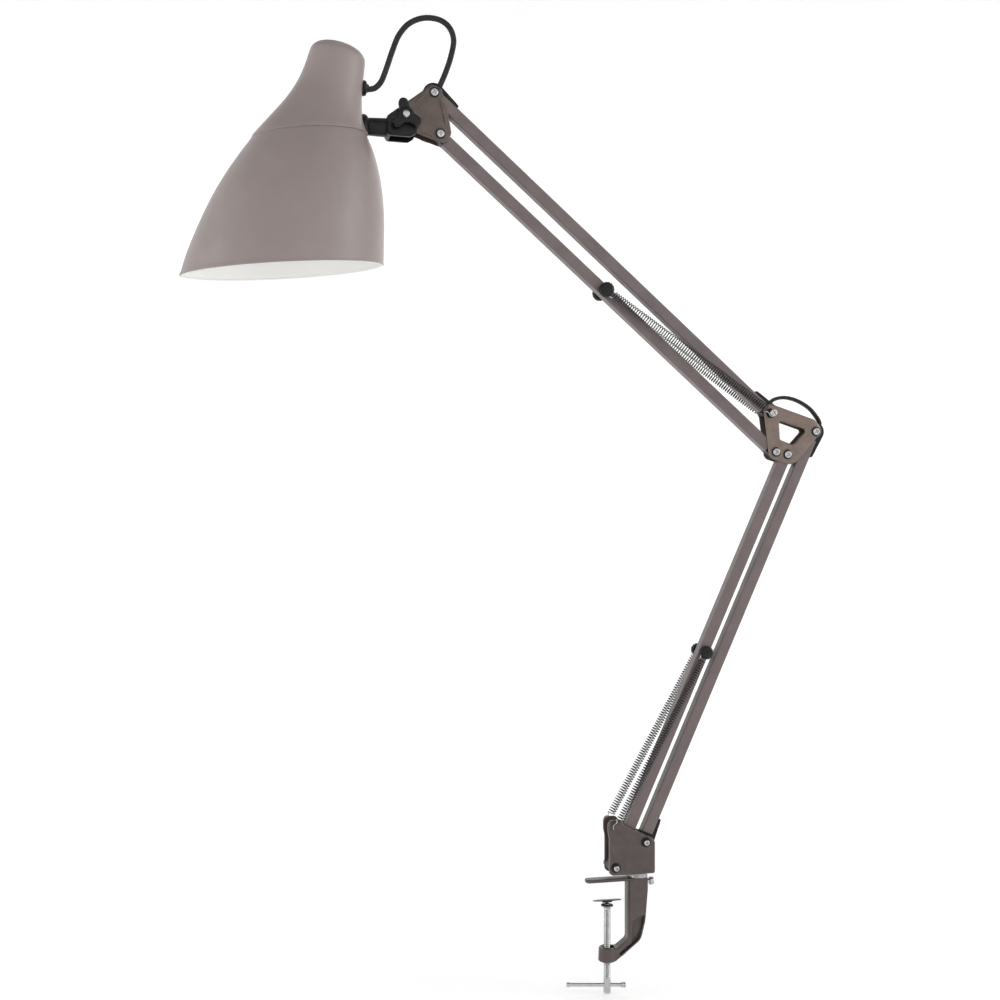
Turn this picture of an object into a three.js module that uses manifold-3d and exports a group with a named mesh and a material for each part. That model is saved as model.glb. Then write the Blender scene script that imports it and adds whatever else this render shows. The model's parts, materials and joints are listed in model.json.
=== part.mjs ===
// Swing arm desk lamp on a screw clamp: two spring balanced parallelogram arms and a bell shade.
// Millimetres, +Z up. The origin is on the underside of the clamp's top jaw, above the clamp screw.
// The arms lie in the XZ plane; the front faces -Y.
import * as THREE from "three";
import { mergeVertices } from "three/addons/utils/BufferGeometryUtils.js";
import Module from "manifold-3d";

const wasm = await Module();
wasm.setup();

// ---------------------------------------------------------------- driving dimensions
const GAP = 0.3; // clearance kept between neighbouring pieces
const OVERRUN = 1; // how far a cutting tool passes the surface it cuts

const LOWER_ARM = 389.4; // between the pivots of a lower bar
const LOWER_LEAN = 24.15; // degrees from vertical, towards +X
const UPPER_ARM = 398.6;
const UPPER_LEAN = 48.8; // degrees from vertical, towards -X
const BASE_INNER_PIVOT = [5, 13.7]; // x, z of the lower inner bar's pivot
const LOWER_LINK = [27, 20.6]; // inner pivot to outer pivot of the lower parallelogram
const ELBOW_STEP = [-11, 2.2]; // lower inner bar's pivot to upper inner bar's pivot
const UPPER_LINK = [-5.1, 34]; // inner pivot to outer pivot of the upper parallelogram
const TILT_STEP = [-30.1, 11.6]; // head bracket's inner pivot to the tilt bolt

const TUBE = 10; // square section of the bars
const TUBE_WALL = 1;
const TUBE_CORNER = 1;
const TUBE_SETBACK = 7.5; // from a pivot to the end of the tube
const EYE_RADIUS = 5; // round end of a bar's end fitting
const CAP_RADIUS = 9.2; // round cable cap over an outer bar's pivot
const HOLE = 2.3; // clearance hole radius for a pivot screw
const SHANK = 2; // pivot screw radius
const SCREW_HEAD = 3.3;
const SCREW_HEAD_HEIGHT = 1.9;

const PLATE_OUT = 7; // outer face of the elbow and head plates, from the middle plane
const PLATE_THICK = 1.6;
const HOUSING_OUT = 9.5; // outer face of the base shells
const HOUSING_WALL = 2;

const TILT_BOLT = 2.5; // radius of the bolt that the head tilts on

const LOWER_KNOB_AT = 199.9; // spring knob's distance along the lower inner bar
const UPPER_KNOB_AT = 208.3;
const LOWER_KNOB_RADIUS = 5.7;
const UPPER_KNOB_RADIUS = 6.3;
const KNOB_Y = 10; // middle of a knob's groove, from the middle plane
const SPRING_RADIUS = 3.6;
const LOWER_ANCHOR = [4.6, 49.4]; // stud on the base housing that holds the lower springs
const LOWER_ANCHOR_Y = 13;
const UPPER_ANCHOR_Y = 11;

const POST_X = 28; // swivel axis of the base in the clamp's spine
const POST_RADIUS = 3.6;
const JAW_TOP = 2.8;
const JAW_HALF_WIDTH = 4.6;
const JAW_END = -19.5;
const SPINE_INNER = 17.2; // x of the spine's face towards the table
const SPINE_OUTER = 35.6;
const SPINE_HALF_WIDTH = 5.6;
const THROAT_FLOOR = -56.6;
const BOSS_LOW = -68.5;
const LOCK_Z = -2; // axis of the screw that locks the swivel
const CLAMP_SCREW_RADIUS = 3.1;
const PAD_Z = -16.6;
const PAD_RADIUS = 12.3;
const PAD_LEAN = 16; // degrees the loose pad leans, its front edge up
const TOMMY_Z = -89.4;
const TOMMY_TURN = -12; // degrees, rest direction of the tommy bar about the screw

const STEM_Z = 638; // axis of the stem that carries the shade
const COLLAR_X = -206.4; // face of the shade's collar against the yoke
const SHADE_RIM = [-275.3, 517.7]; // x, z of the rim's centre
const SHADE_LEAN = 5; // degrees, the rim's right side up
const SHADE_ROLL = 5; // degrees about the stem, the opening turned a little to the back
const BELL_WALL = 1.2;

// ---------------------------------------------------------------- positions from the dimensions
const rad = THREE.MathUtils.degToRad;
const plus = (a, b, k = 1) => [a[0] + k * b[0], a[1] + k * b[1]];
const LOWER_DIR = [Math.sin(rad(LOWER_LEAN)), Math.cos(rad(LOWER_LEAN))];
const UPPER_DIR = [-Math.sin(rad(UPPER_LEAN)), Math.cos(rad(UPPER_LEAN))];
const P2 = BASE_INNER_PIVOT;
const P1 = plus(P2, LOWER_LINK);
const D = plus(P2, LOWER_DIR, LOWER_ARM);
const B = plus(D, LOWER_LINK);
const C = plus(D, ELBOW_STEP);
const A = plus(C, UPPER_LINK);
const H2 = plus(C, UPPER_DIR, UPPER_ARM);
const H1 = plus(H2, UPPER_LINK);
const K = plus(H2, TILT_STEP);

// ---------------------------------------------------------------- colours
const finish = (color, roughness, metalness = 0) => new THREE.MeshStandardMaterial({ color, roughness, metalness });
const TAUPE = finish(0x8d827f, 0.42, 0.2);
const WHITE = finish(0xf2f0ec, 0.5);
const BAR_BROWN = finish(0x5f5454, 0.4, 0.3);
const CAST_BROWN = finish(0x564a48, 0.45, 0.3);
const BRONZE = finish(0x695c52, 0.38, 0.5);
const BLACK = finish(0x161616, 0.55);
const CHROME = finish(0xc9ccd0, 0.15, 1);
const SPRING_STEEL = finish(0x2b2b2e, 0.3, 1);
const STEEL = finish(0x8e9094, 0.3, 1);

// ---------------------------------------------------------------- solids
// A closed geometry as a manifold-3d solid.
function solid(geometry) {
  const bare = geometry.clone();
  bare.deleteAttribute("normal");
  bare.deleteAttribute("uv");
  const merged = mergeVertices(bare, 1e-4);
  const triVerts = new Uint32Array(merged.index.array);
  const vertProperties = new Float32Array(merged.attributes.position.array);
  return new wasm.Manifold(new wasm.Mesh({ numProp: 3, vertProperties, triVerts }));
}

function geometryOf(body) {
  const mesh = body.getMesh();
  const positions = new Float32Array(mesh.numVert * 3);
  for (let i = 0; i < mesh.numVert; i++) {
    positions.set(mesh.vertProperties.subarray(i * mesh.numProp, i * mesh.numProp + 3), i * 3);
  }
  const geometry = new THREE.BufferGeometry();
  geometry.setAttribute("position", new THREE.BufferAttribute(positions, 3));
  geometry.setIndex(new THREE.BufferAttribute(new Uint32Array(mesh.triVerts), 1));
  return geometry;
}

const join = (...bodies) => bodies.reduce((all, one) => all.add(one));
const cut = (body, ...tools) => tools.reduce((left, tool) => left.subtract(tool), body);

const box = (x0, x1, y0, y1, z0, z1) =>
  solid(new THREE.BoxGeometry(x1 - x0, y1 - y0, z1 - z0).translate((x0 + x1) / 2, (y0 + y1) / 2, (z0 + z1) / 2));

// Cylinders and cones along each axis, between two stations. r1 is the radius at the far end.
function rod(axis, from, to, at, r0, r1 = r0, sides = 14) {
  const geometry = new THREE.CylinderGeometry(r1, r0, to - from, sides);
  geometry.translate(0, (from + to) / 2, 0);
  if (axis === "x") geometry.rotateZ(-Math.PI / 2).translate(0, at[0], at[1]);
  if (axis === "y") geometry.translate(at[0], 0, at[1]);
  if (axis === "z") geometry.rotateX(Math.PI / 2).translate(at[0], at[1], 0);
  return solid(geometry);
}

// A clearance hole along Y; it is hidden under a screw's head, so it has few sides.
const hole = (at, from, to, radius = HOLE) => rod("y", from, to, at, radius, radius, 8);

// A turned piece along Y: profile points are [radius, y] and start and end on the axis.
function turned(at, profile, sides = 16) {
  const points = profile.map(([radius, y]) => new THREE.Vector2(radius, y));
  return solid(new THREE.LatheGeometry(points, sides).translate(at[0], 0, at[1]));
}

// An outline in XZ with rounded corners: points are [x, z, corner radius], counter-clockwise.
function outline(points, steps = 3) {
  const shape = new THREE.Shape();
  const count = points.length;
  points.forEach(([x, z, radius = 0], i) => {
    const corner = new THREE.Vector2(x, z);
    const before = new THREE.Vector2(...points[(i + count - 1) % count]);
    const after = new THREE.Vector2(...points[(i + 1) % count]);
    const into = before.clone().sub(corner).normalize();
    const out = after.clone().sub(corner).normalize();
    const half = Math.acos(THREE.MathUtils.clamp(into.dot(out), -1, 1)) / 2;
    const reach = radius / Math.tan(half);
    const centre = corner.clone().add(into.clone().add(out).normalize().multiplyScalar(radius / Math.sin(half)));
    const start = corner.clone().addScaledVector(into, reach);
    const end = corner.clone().addScaledVector(out, reach);
    const turn = Math.PI - 2 * half;
    const side = Math.sign(into.x * out.y - into.y * out.x);
    const first = start.clone().sub(centre).angle();
    for (let k = 0; k <= (radius ? steps : 0); k++) {
      const angle = first - side * turn * (radius ? k / steps : 0);
      const point = radius
        ? new THREE.Vector2(centre.x + radius * Math.cos(angle), centre.y + radius * Math.sin(angle))
        : end;
      if (i === 0 && k === 0) shape.moveTo(point.x, point.y);
      else shape.lineTo(point.x, point.y);
    }
  });
  shape.closePath();
  return shape;
}

// An outline pushed along Y from y0 to y1, with both rims bevelled.
function slab(shape, y0, y1, bevel = 0) {
  const settings = { depth: y1 - y0 - 2 * bevel, bevelEnabled: bevel > 0 };
  Object.assign(settings, { bevelThickness: bevel, bevelSize: bevel, bevelOffset: -bevel, bevelSegments: 1 });
  const geometry = new THREE.ExtrudeGeometry(shape, settings);
  geometry.rotateX(Math.PI / 2);
  return solid(geometry.translate(0, y1 - bevel, 0));
}

// Moves a body built along +Z from the origin so that it starts at a point and runs along dir in XZ.
const along = (body, at, dir) =>
  body.rotate([0, THREE.MathUtils.radToDeg(Math.atan2(dir[0], dir[1])), 0]).translate([at[0], 0, at[1]]);

// A square bar along +Z, centred on the Z axis.
function squareBar(size, z0, z1, corner) {
  const half = size / 2;
  const shape = outline([[-half, -half, corner], [half, -half, corner], [half, half, corner], [-half, half, corner]], 2);
  const geometry = new THREE.ExtrudeGeometry(shape, { depth: z1 - z0, bevelEnabled: false });
  return solid(geometry.translate(0, 0, z0));
}

// A stack of rings made into one closed skin. Each ring is {x, z, radius, tilt}; tilt is in degrees.
// An open stack starts and ends in a point; a looped one closes on itself.
function ringStack(rings, looped, sides = 32) {
  const positions = [];
  const starts = [];
  for (const { x, z, radius, tilt = 0 } of rings) {
    starts.push([positions.length / 3, radius]);
    for (let i = 0; i < (radius ? sides : 1); i++) {
      const angle = (2 * Math.PI * i) / sides;
      const reach = radius * Math.cos(angle);
      positions.push(x + reach * Math.cos(rad(tilt)), radius * Math.sin(angle), z + reach * Math.sin(rad(tilt)));
    }
  }
  const index = [];
  const last = looped ? rings.length : rings.length - 1;
  for (let k = 0; k < last; k++) {
    const [low, lowRadius] = starts[k];
    const [high, highRadius] = starts[(k + 1) % rings.length];
    for (let i = 0; i < sides; i++) {
      const j = (i + 1) % sides;
      if (lowRadius) index.push(low + i, low + j, high + (highRadius ? i : 0));
      if (highRadius) index.push(low + (lowRadius ? j : 0), high + j, high + i);
    }
  }
  const geometry = new THREE.BufferGeometry();
  geometry.setAttribute("position", new THREE.BufferAttribute(new Float32Array(positions), 3));
  geometry.setIndex(index);
  return solid(geometry);
}

// A tube of small section along a smooth path through points.
function cordTube(points, radius, steps) {
  const section = new THREE.Shape();
  for (let i = 0; i < 8; i++) {
    const angle = (Math.PI * (2 * i + 1)) / 8;
    const [x, y] = [radius * Math.cos(angle), radius * Math.sin(angle)];
    if (i === 0) section.moveTo(x, y);
    else section.lineTo(x, y);
  }
  section.closePath();
  const extrudePath = new THREE.CatmullRomCurve3(points.map((p) => new THREE.Vector3(...p)));
  return solid(new THREE.ExtrudeGeometry(section, { steps, extrudePath }));
}

const lamp = new THREE.Group();
lamp.name = "swing_arm_desk_lamp";

function piece(name, body, material, group = lamp) {
  const mesh = new THREE.Mesh(geometryOf(body), material);
  mesh.name = name;
  group.add(mesh);
  return mesh;
}

// ---------------------------------------------------------------- fasteners
// A cross recessed screw along Y through a point. front is the y under its head; back is its tip.
function crossScrew(at, front, back, shank = SHANK, head = SCREW_HEAD) {
  const top = front - SCREW_HEAD_HEIGHT;
  const profile = [[0, back], [shank, back], [shank, front], [head, front], [head, top + 0.8]];
  profile.push([head * 0.72, top], [0, top]);
  const body = turned(at, profile.reverse(), 14);
  const [x, z] = at;
  const arm = head * 0.52;
  const slot = 0.42;
  const depth = top + 1;
  const across = box(x - arm, x + arm, top - OVERRUN, depth, z - slot, z + slot);
  const upright = box(x - slot, x + slot, top - OVERRUN, depth, z - arm, z + arm);
  return cut(body, across, upright);
}

// ---------------------------------------------------------------- clamp
function clampFrame() {
  const spine = outline([
    [SPINE_INNER, JAW_TOP, 1.2], [SPINE_INNER, -50, 4], [8.4, THROAT_FLOOR, 3], [-5, THROAT_FLOOR, 1.2],
    [-5, BOSS_LOW, 1.2], [6.2, BOSS_LOW, 4], [29.4, -51, 12], [33.4, -34, 14], [SPINE_OUTER, -8, 10],
    [SPINE_OUTER, JAW_TOP, 1.2],
  ]);
  const jaw = outline([
    [JAW_END, 0, 0.8], [SPINE_INNER + 4, 0, 0], [SPINE_INNER + 4, JAW_TOP, 0], [JAW_END, JAW_TOP, 0.8],
  ]);
  let body = slab(spine, -SPINE_HALF_WIDTH, SPINE_HALF_WIDTH, 0.8);
  body = join(body, slab(jaw, -JAW_HALF_WIDTH, JAW_HALF_WIDTH, 0.6));
  body = join(body, rod("z", BOSS_LOW, THROAT_FLOOR, [0, 0], 7.6, 7.2, 24));
  const pocket = outline([
    [21.2, -34.6, 1], [32.6, -29.4, 1], [31.6, -36, 6], [27.6, -50, 9], [9.8, -64.4, 1.2], [9.8, -61, 1.2],
    [20.8, -53, 3],
  ]);
  for (const side of [-1, 1]) {
    const [y0, y1] = [side * 2.2, side * (SPINE_HALF_WIDTH + OVERRUN)].sort((a, b) => a - b);
    body = cut(body, slab(pocket, y0, y1));
  }
  const postBore = rod("z", -27, JAW_TOP + OVERRUN, [POST_X, 0], POST_RADIUS + GAP, undefined, 18);
  const screwHole = CLAMP_SCREW_RADIUS + GAP;
  const screwBore = rod("z", BOSS_LOW - OVERRUN, THROAT_FLOOR + 5, [0, 0], screwHole, undefined, 18);
  const lockBore = rod("x", POST_X, SPINE_OUTER + OVERRUN, [0, LOCK_Z], SHANK + GAP);
  return cut(body, postBore, screwBore, lockBore);
}

function lockScrew() {
  const face = SPINE_OUTER + GAP;
  const tip = POST_X + POST_RADIUS + GAP;
  const shank = rod("x", tip, face + 1, [0, LOCK_Z], SHANK);
  const head = rod("x", face, face + 3.6, [0, LOCK_Z], 3.4, 3.1, 24);
  const slot = box(face + 2.6, face + 3.6 + OVERRUN, -4, 4, LOCK_Z - 0.5, LOCK_Z + 0.5);
  return cut(join(shank, head), slot);
}

function clampPad() {
  const profile = [[0, 0.9], [PAD_RADIUS - 0.4, 0.9], [PAD_RADIUS, 0.5], [PAD_RADIUS, -0.5]];
  profile.push([4.6, -0.5], [4.1, -1.7], [0, -1.7]);
  const points = profile.reverse().map(([x, y]) => new THREE.Vector2(x, y));
  const disc = solid(new THREE.LatheGeometry(points, 24).rotateX(Math.PI / 2));
  return disc.rotate([-PAD_LEAN, 0, 0]).translate([0, 0, PAD_Z]);
}

function padHub() {
  const low = PAD_Z - 5;
  return join(rod("z", low, low + 1.6, [0, 0], 5.4, undefined, 18), rod("z", low, low + 2.4, [0, 0], 2.2));
}

function clampScrew() {
  const top = PAD_Z - 5 - GAP;
  const bottom = -96.3;
  const profile = [[0, bottom], [CLAMP_SCREW_RADIUS - 0.6, bottom], [CLAMP_SCREW_RADIUS, bottom + 0.8]];
  profile.push([CLAMP_SCREW_RADIUS, top], [0, top]);
  const points = profile.map(([x, y]) => new THREE.Vector2(x, y));
  const body = solid(new THREE.LatheGeometry(points, 18).rotateX(Math.PI / 2));
  const across = rod("x", -6, 6, [0, TOMMY_Z], 1.65 + GAP).rotate([0, 0, TOMMY_TURN]);
  return cut(body, across);
}

function tommyBar() {
  const bar = rod("x", -33, 13.5, [0, TOMMY_Z], 1.65, undefined, 16);
  const end = rod("x", -35, -32, [0, TOMMY_Z], 2, undefined, 16);
  return join(bar, end).rotate([0, 0, TOMMY_TURN]);
}

function tommyCap() {
  const cap = rod("x", 12, 16, [0, TOMMY_Z], 2.4, 2.2, 16);
  const socket = rod("x", 11, 13.5 + GAP, [0, TOMMY_Z], 1.65 + GAP, undefined, 16);
  return cut(cap, socket).rotate([0, 0, TOMMY_TURN]);
}

piece("clamp_frame", clampFrame(), CAST_BROWN);
piece("lock_screw", lockScrew(), CHROME);
piece("clamp_pad", clampPad(), STEEL);
piece("pad_hub", padHub(), STEEL);
piece("clamp_screw", clampScrew(), CHROME);
piece("tommy_bar", tommyBar(), CHROME);
piece("tommy_cap", tommyCap(), CHROME);

// ---------------------------------------------------------------- base housing
const FLOOR_TOP = 8;
const FLOOR_LOW = 6.6;
const RIGHT_WALL = 40.8;

function baseShell(side) {
  const face = outline([
    [1.3, FLOOR_LOW, 4], [RIGHT_WALL, FLOOR_LOW, 2], [RIGHT_WALL, 36, 6], [12.2, 50.4, 1.5],
    [10.4, 54.2, 4.5], [-1.2, 54.2, 4.5], [-1.2, 43.6, 2], [1.3, 39.6, 2],
  ]);
  const ys = (a, b) => [side * a, side * b].sort((p, q) => p - q);
  let body = slab(face, ...ys(HOUSING_OUT - HOUSING_WALL, HOUSING_OUT), 0.6);
  const [m0, m1] = ys(GAP / 2, HOUSING_OUT - HOUSING_WALL + 0.5);
  body = join(body, box(9, RIGHT_WALL - 2.2, m0, m1, FLOOR_LOW, FLOOR_TOP));
  body = join(body, box(RIGHT_WALL - 1.9, RIGHT_WALL, m0, m1, FLOOR_LOW + 2, 27));
  const [b0, b1] = ys(TUBE / 2 + GAP, HOUSING_OUT - HOUSING_WALL + 0.5);
  body = join(body, box(RIGHT_WALL - 3.5, RIGHT_WALL, m0, m1, FLOOR_LOW, FLOOR_LOW + 3));
  for (const pivot of [P1, P2]) body = join(body, rod("y", b0, b1, pivot, 3.6));
  const postHole = rod("z", FLOOR_LOW - OVERRUN, FLOOR_TOP + OVERRUN, [POST_X, 0], POST_RADIUS + GAP);
  const holes = [P1, P2, LOWER_ANCHOR].map((pivot) => hole(pivot, ...ys(4, 12)));
  return cut(body, postHole, ...holes);
}

function swivelPost() {
  const flange = FLOOR_TOP + GAP;
  const low = -26;
  const shaft = rod("z", low, flange + 1, [POST_X, 0], POST_RADIUS, undefined, 18);
  const top = rod("z", flange, flange + 2.6, [POST_X, 0], 6.8, undefined, 18);
  return join(shaft, top);
}

const WASHER_LOW = JAW_TOP + GAP;
const washer = cut(
  rod("z", WASHER_LOW, FLOOR_LOW - GAP, [POST_X, 0], 8.4, 7.6, 24),
  rod("z", WASHER_LOW - 1, FLOOR_LOW + 1, [POST_X, 0], POST_RADIUS + GAP, undefined, 18),
);

function springStud(side) {
  const root = HOUSING_OUT - HOUSING_WALL + GAP;
  const profile = [[0, root], [SHANK, root], [SHANK, HOUSING_OUT + GAP], [3.2, HOUSING_OUT + GAP], [3.2, 10.8]];
  profile.push([2.4, 10.8], [2.4, 15.2], [4.8, 15.4], [4.8, 17], [3.8, 17.9], [0, 18.1]);
  const points = profile.map(([r, y]) => [r, side * y]);
  return turned(LOWER_ANCHOR, side > 0 ? points : points.reverse(), 16);
}

function baseWasher(at) {
  const outer = HOUSING_OUT + GAP;
  const ring = rod("y", -outer - 1.3, -outer, at, 3.3, undefined, 18);
  return cut(ring, hole(at, -20, 0));
}

piece("base_shell_front", baseShell(-1), CAST_BROWN);
piece("base_shell_rear", baseShell(1), CAST_BROWN);
piece("swivel_post", swivelPost(), STEEL);
piece("swivel_washer", washer, STEEL);
piece("spring_stud_front", springStud(-1), CAST_BROWN);
piece("spring_stud_rear", springStud(1), CAST_BROWN);
for (const [name, pivot] of [["outer", P1], ["inner", P2]]) {
  const seat = -(HOUSING_OUT + GAP + 1.3 + GAP);
  piece("base_ring_" + name, baseWasher(pivot), BLACK);
  piece("base_screw_" + name, crossScrew(pivot, seat, HOUSING_OUT + 0.6, SHANK, 2.5), CHROME);
}

// ---------------------------------------------------------------- bars and their end fittings
function barTube(length, knobAt) {
  const inside = TUBE - 2 * TUBE_WALL;
  const hollow = box(-inside / 2, inside / 2, -inside / 2, inside / 2, 0, length);
  let body = cut(squareBar(TUBE, TUBE_SETBACK, length - TUBE_SETBACK, TUBE_CORNER), hollow);
  if (knobAt) body = cut(body, hole([0, knobAt], -8, 8));
  return body;
}

// An end fitting: an eye on the pivot, a plug in the tube and, on the outer bars, a cable cap round
// the pivot with a tongue down the tube. outward is the side that those are on, 0 for none.
function endFitting(outward) {
  const half = TUBE / 2;
  const plug = TUBE - 2 * TUBE_WALL - 2 * GAP;
  let body = join(
    rod("y", -half, half, [0, 0], EYE_RADIUS, undefined, 18),
    squareBar(TUBE, 0, TUBE_SETBACK - GAP, 0.6),
    squareBar(plug, TUBE_SETBACK - GAP - 0.1, 22, 0.6),
  );
  if (outward) {
    const inside = half + GAP;
    const hood = outline([[half - 2, -5, 1], [half + 2.9, -5, 1.2], [half + 2.4, 22, 0.8], [inside, 22, 0.6],
      [inside, TUBE_SETBACK - GAP, 0], [half - 2, TUBE_SETBACK - GAP, 0]]);
    const cap = cut(
      rod("y", -4, 4, [0, 0], CAP_RADIUS, undefined, 24),
      box(-10, 10, -5, 5, TUBE_SETBACK - GAP, 10),
      box(-10, -half, -5, 5, -10, 10),
    );
    let cover = join(slab(hood, -4, 4, 0.3), cap);
    if (outward < 0) cover = cover.mirror([1, 0, 0]);
    body = join(body, cover);
  }
  return cut(body, hole([0, 0], -8, 8));
}

function bar(name, low, high, length, outward, knobAt) {
  const dir = [(high[0] - low[0]) / length, (high[1] - low[1]) / length];
  const back = [-dir[0], -dir[1]];
  piece(name, along(barTube(length, knobAt), low, dir), BAR_BROWN);
  piece(name + "_foot", along(endFitting(outward), low, dir), BLACK);
  piece(name + "_tip", along(endFitting(-outward), high, back), BLACK);
}

bar("lower_bar_inner", P2, D, LOWER_ARM, 0, LOWER_KNOB_AT);
bar("lower_bar_outer", P1, B, LOWER_ARM, 1, 0);
bar("upper_bar_inner", C, H2, UPPER_ARM, 0, UPPER_KNOB_AT);
bar("upper_bar_outer", A, H1, UPPER_ARM, 1, 0);

// ---------------------------------------------------------------- spring knobs and springs
// A spool shaped knob on the front; the rear one carries the bolt that runs through the bar.
function springKnob(at, radius, side) {
  const groove = radius - 1.6;
  const profile = [[0, 5 + GAP], [3.4, 5 + GAP], [3.4, 7.4], [radius - 0.3, 7.6], [radius, 8], [radius, 8.8]];
  profile.push([groove, 9.2], [groove, 10.8], [radius, 11.2], [radius, 12.2], [radius - 1, 13], [0, 13.3]);
  const points = profile.map(([r, y]) => [r, side * y]);
  const spool = turned(at, side > 0 ? points : points.reverse(), 18);
  if (side > 0) return join(spool, rod("y", -11.5, 8, at, SHANK));
  return cut(spool, hole(at, -11.5 - GAP, 0));
}

function springBody(from, to, fromY, toY, side, fromGap, toGap) {
  const start = new THREE.Vector3(from[0], side * fromY, from[1]);
  const end = new THREE.Vector3(to[0], side * toY, to[1]);
  const dir = end.clone().sub(start);
  const length = dir.length();
  dir.normalize();
  start.addScaledVector(dir, fromGap);
  const geometry = new THREE.CylinderGeometry(SPRING_RADIUS, SPRING_RADIUS, length - fromGap - toGap, 16);
  geometry.translate(0, (length - fromGap - toGap) / 2, 0);
  geometry.applyQuaternion(new THREE.Quaternion().setFromUnitVectors(new THREE.Vector3(0, 1, 0), dir));
  return solid(geometry.translate(start.x, start.y, start.z));
}

const LOWER_KNOB = plus(P2, LOWER_DIR, LOWER_KNOB_AT);
const UPPER_KNOB = plus(C, UPPER_DIR, UPPER_KNOB_AT);
for (const [word, side] of [["front", -1], ["rear", 1]]) {
  piece("lower_knob_" + word, springKnob(LOWER_KNOB, LOWER_KNOB_RADIUS, side), BLACK);
  piece("upper_knob_" + word, springKnob(UPPER_KNOB, UPPER_KNOB_RADIUS, side), BLACK);
  const lower = springBody(LOWER_KNOB, LOWER_ANCHOR, KNOB_Y, LOWER_ANCHOR_Y, side, 7, 6.2);
  const upper = springBody(UPPER_KNOB, A, KNOB_Y, UPPER_ANCHOR_Y, side, 7.6, 7);
  piece("lower_spring_" + word, lower, SPRING_STEEL);
  piece("upper_spring_" + word, upper, SPRING_STEEL);
}

// ---------------------------------------------------------------- elbow
function pressedPlate(shape, side, pivots, tools) {
  const [y0, y1] = [side * (PLATE_OUT - PLATE_THICK), side * PLATE_OUT].sort((a, b) => a - b);
  let body = slab(shape, y0, y1, 0.45);
  if (side > 0) {
    for (const pivot of pivots) body = join(body, rod("y", y1 - 0.5, y1 + 1.2, pivot, 3.5, 3.1));
  }
  return cut(body, ...pivots.map((pivot) => hole(pivot, -12, 12)), ...tools);
}

const elbowShape = outline([
  [147.4, 365.6, 6], [165.7, 360, 7], [172.6, 361.8, 6], [198.6, 390.8, 6.5], [191, 400, 5],
  [147.2, 414.2, 5.5], [141.6, 409.5, 4], [144.6, 388, 30],
]);
const elbowWindow = outline([
  [157.4, 382.2, 2], [170, 377.4, 2.5], [182.6, 390.8, 2], [156.4, 399.2, 2],
]);
const window = slab(elbowWindow, -PLATE_OUT - OVERRUN, PLATE_OUT + OVERRUN);
piece("elbow_plate_front", pressedPlate(elbowShape, -1, [A, B, C, D], [window]), BRONZE);
piece("elbow_plate_rear", pressedPlate(elbowShape, 1, [A, B, C, D], [window]), BRONZE);

function anchorScrew(at) {
  const seat = UPPER_ANCHOR_Y + 1.9;
  const body = crossScrew(at, -seat, seat - 0.6);
  const collar = (y0, y1) => rod("y", y0, y1, at, 2.7);
  return join(body, collar(-seat - 0.1, -PLATE_OUT - GAP));
}

function anchorNut(at) {
  const low = PLATE_OUT + 1.2 + GAP;
  const sleeve = rod("y", low, 13.2, at, 2.9);
  const nut = rod("y", 12.4, 14.8, at, 3.6, 3.4, 6);
  return cut(join(sleeve, nut), hole(at, low - 1, UPPER_ANCHOR_Y + 1.6));
}

piece("elbow_screw_a", anchorScrew(A), CHROME);
piece("elbow_nut_a", anchorNut(A), STEEL);
for (const [name, pivot] of [["b", B], ["c", C], ["d", D]]) {
  piece("elbow_screw_" + name, crossScrew(pivot, -PLATE_OUT - GAP, PLATE_OUT + 0.9), CHROME);
}

// ---------------------------------------------------------------- head bracket
const headShape = outline([
  [-148, 627, 3], [-141.2, 625.6, 4], [-137, 635, 5], [-139.8, 651, 14], [-145.6, 672.6, 5],
  [-154.6, 675, 5.5], [-160.8, 669.4, 5], [-185, 651, 6.5], [-183.4, 638.6, 6],
]);
const tiltHole = hole(K, -12, 12, TILT_BOLT + GAP);
piece("head_plate_front", pressedPlate(headShape, -1, [H1, H2], [tiltHole]), BRONZE);
piece("head_plate_rear", pressedPlate(headShape, 1, [H1, H2], [tiltHole]), BRONZE);
for (const [name, pivot] of [["outer", H1], ["inner", H2]]) {
  piece("head_screw_" + name, crossScrew(pivot, -PLATE_OUT - GAP, PLATE_OUT + 0.9), CHROME);
}

// The yoke: two cheeks outside the head plates, a tongue between them and a round barrel to the shade.
const CHEEK_IN = PLATE_OUT + 0.5;
const CHEEK_OUT = 10.4;
const SLOT_DEPTH = 11.9; // from the tilt bolt to the back of the yoke's slots; the plates swing inside it
const TONGUE_RADIUS = 6.6;

function yoke() {
  const cheek = outline([
    [-191.5, 629.4, 3.5], [-172, 629, 4], [-166.4, 632.6, 3.5], [-167.2, 643, 6], [-170.4, 652.6, 5],
    [-182, 652.6, 5], [-191.5, 645.2, 2],
  ]);
  let body = slab(cheek, -CHEEK_OUT, CHEEK_OUT, 0.8);
  const slot = (y0, y1) => box(K[0] - SLOT_DEPTH, K[0] + 20, y0, y1, K[1] - 40, K[1] + 40);
  const tongue = join(
    rod("y", -CHEEK_OUT, CHEEK_OUT, K, TONGUE_RADIUS, undefined, 18),
    box(K[0] - SLOT_DEPTH - 1, K[0], -CHEEK_OUT, CHEEK_OUT, K[1] - TONGUE_RADIUS, K[1] + TONGUE_RADIUS),
  );
  body = cut(body, slot(TUBE / 2, CHEEK_IN), slot(-CHEEK_IN, -TUBE / 2), cut(slot(-TUBE / 2, TUBE / 2), tongue));
  body = join(body, rod("x", COLLAR_X + GAP, -190, [0, STEM_Z], 7.2, 7.8, 18));
  const bore = rod("x", -215, -184, [0, STEM_Z], 3 + GAP, undefined, 18);
  return cut(body, hole(K, -12, 12, TILT_BOLT + GAP), bore);
}

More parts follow.
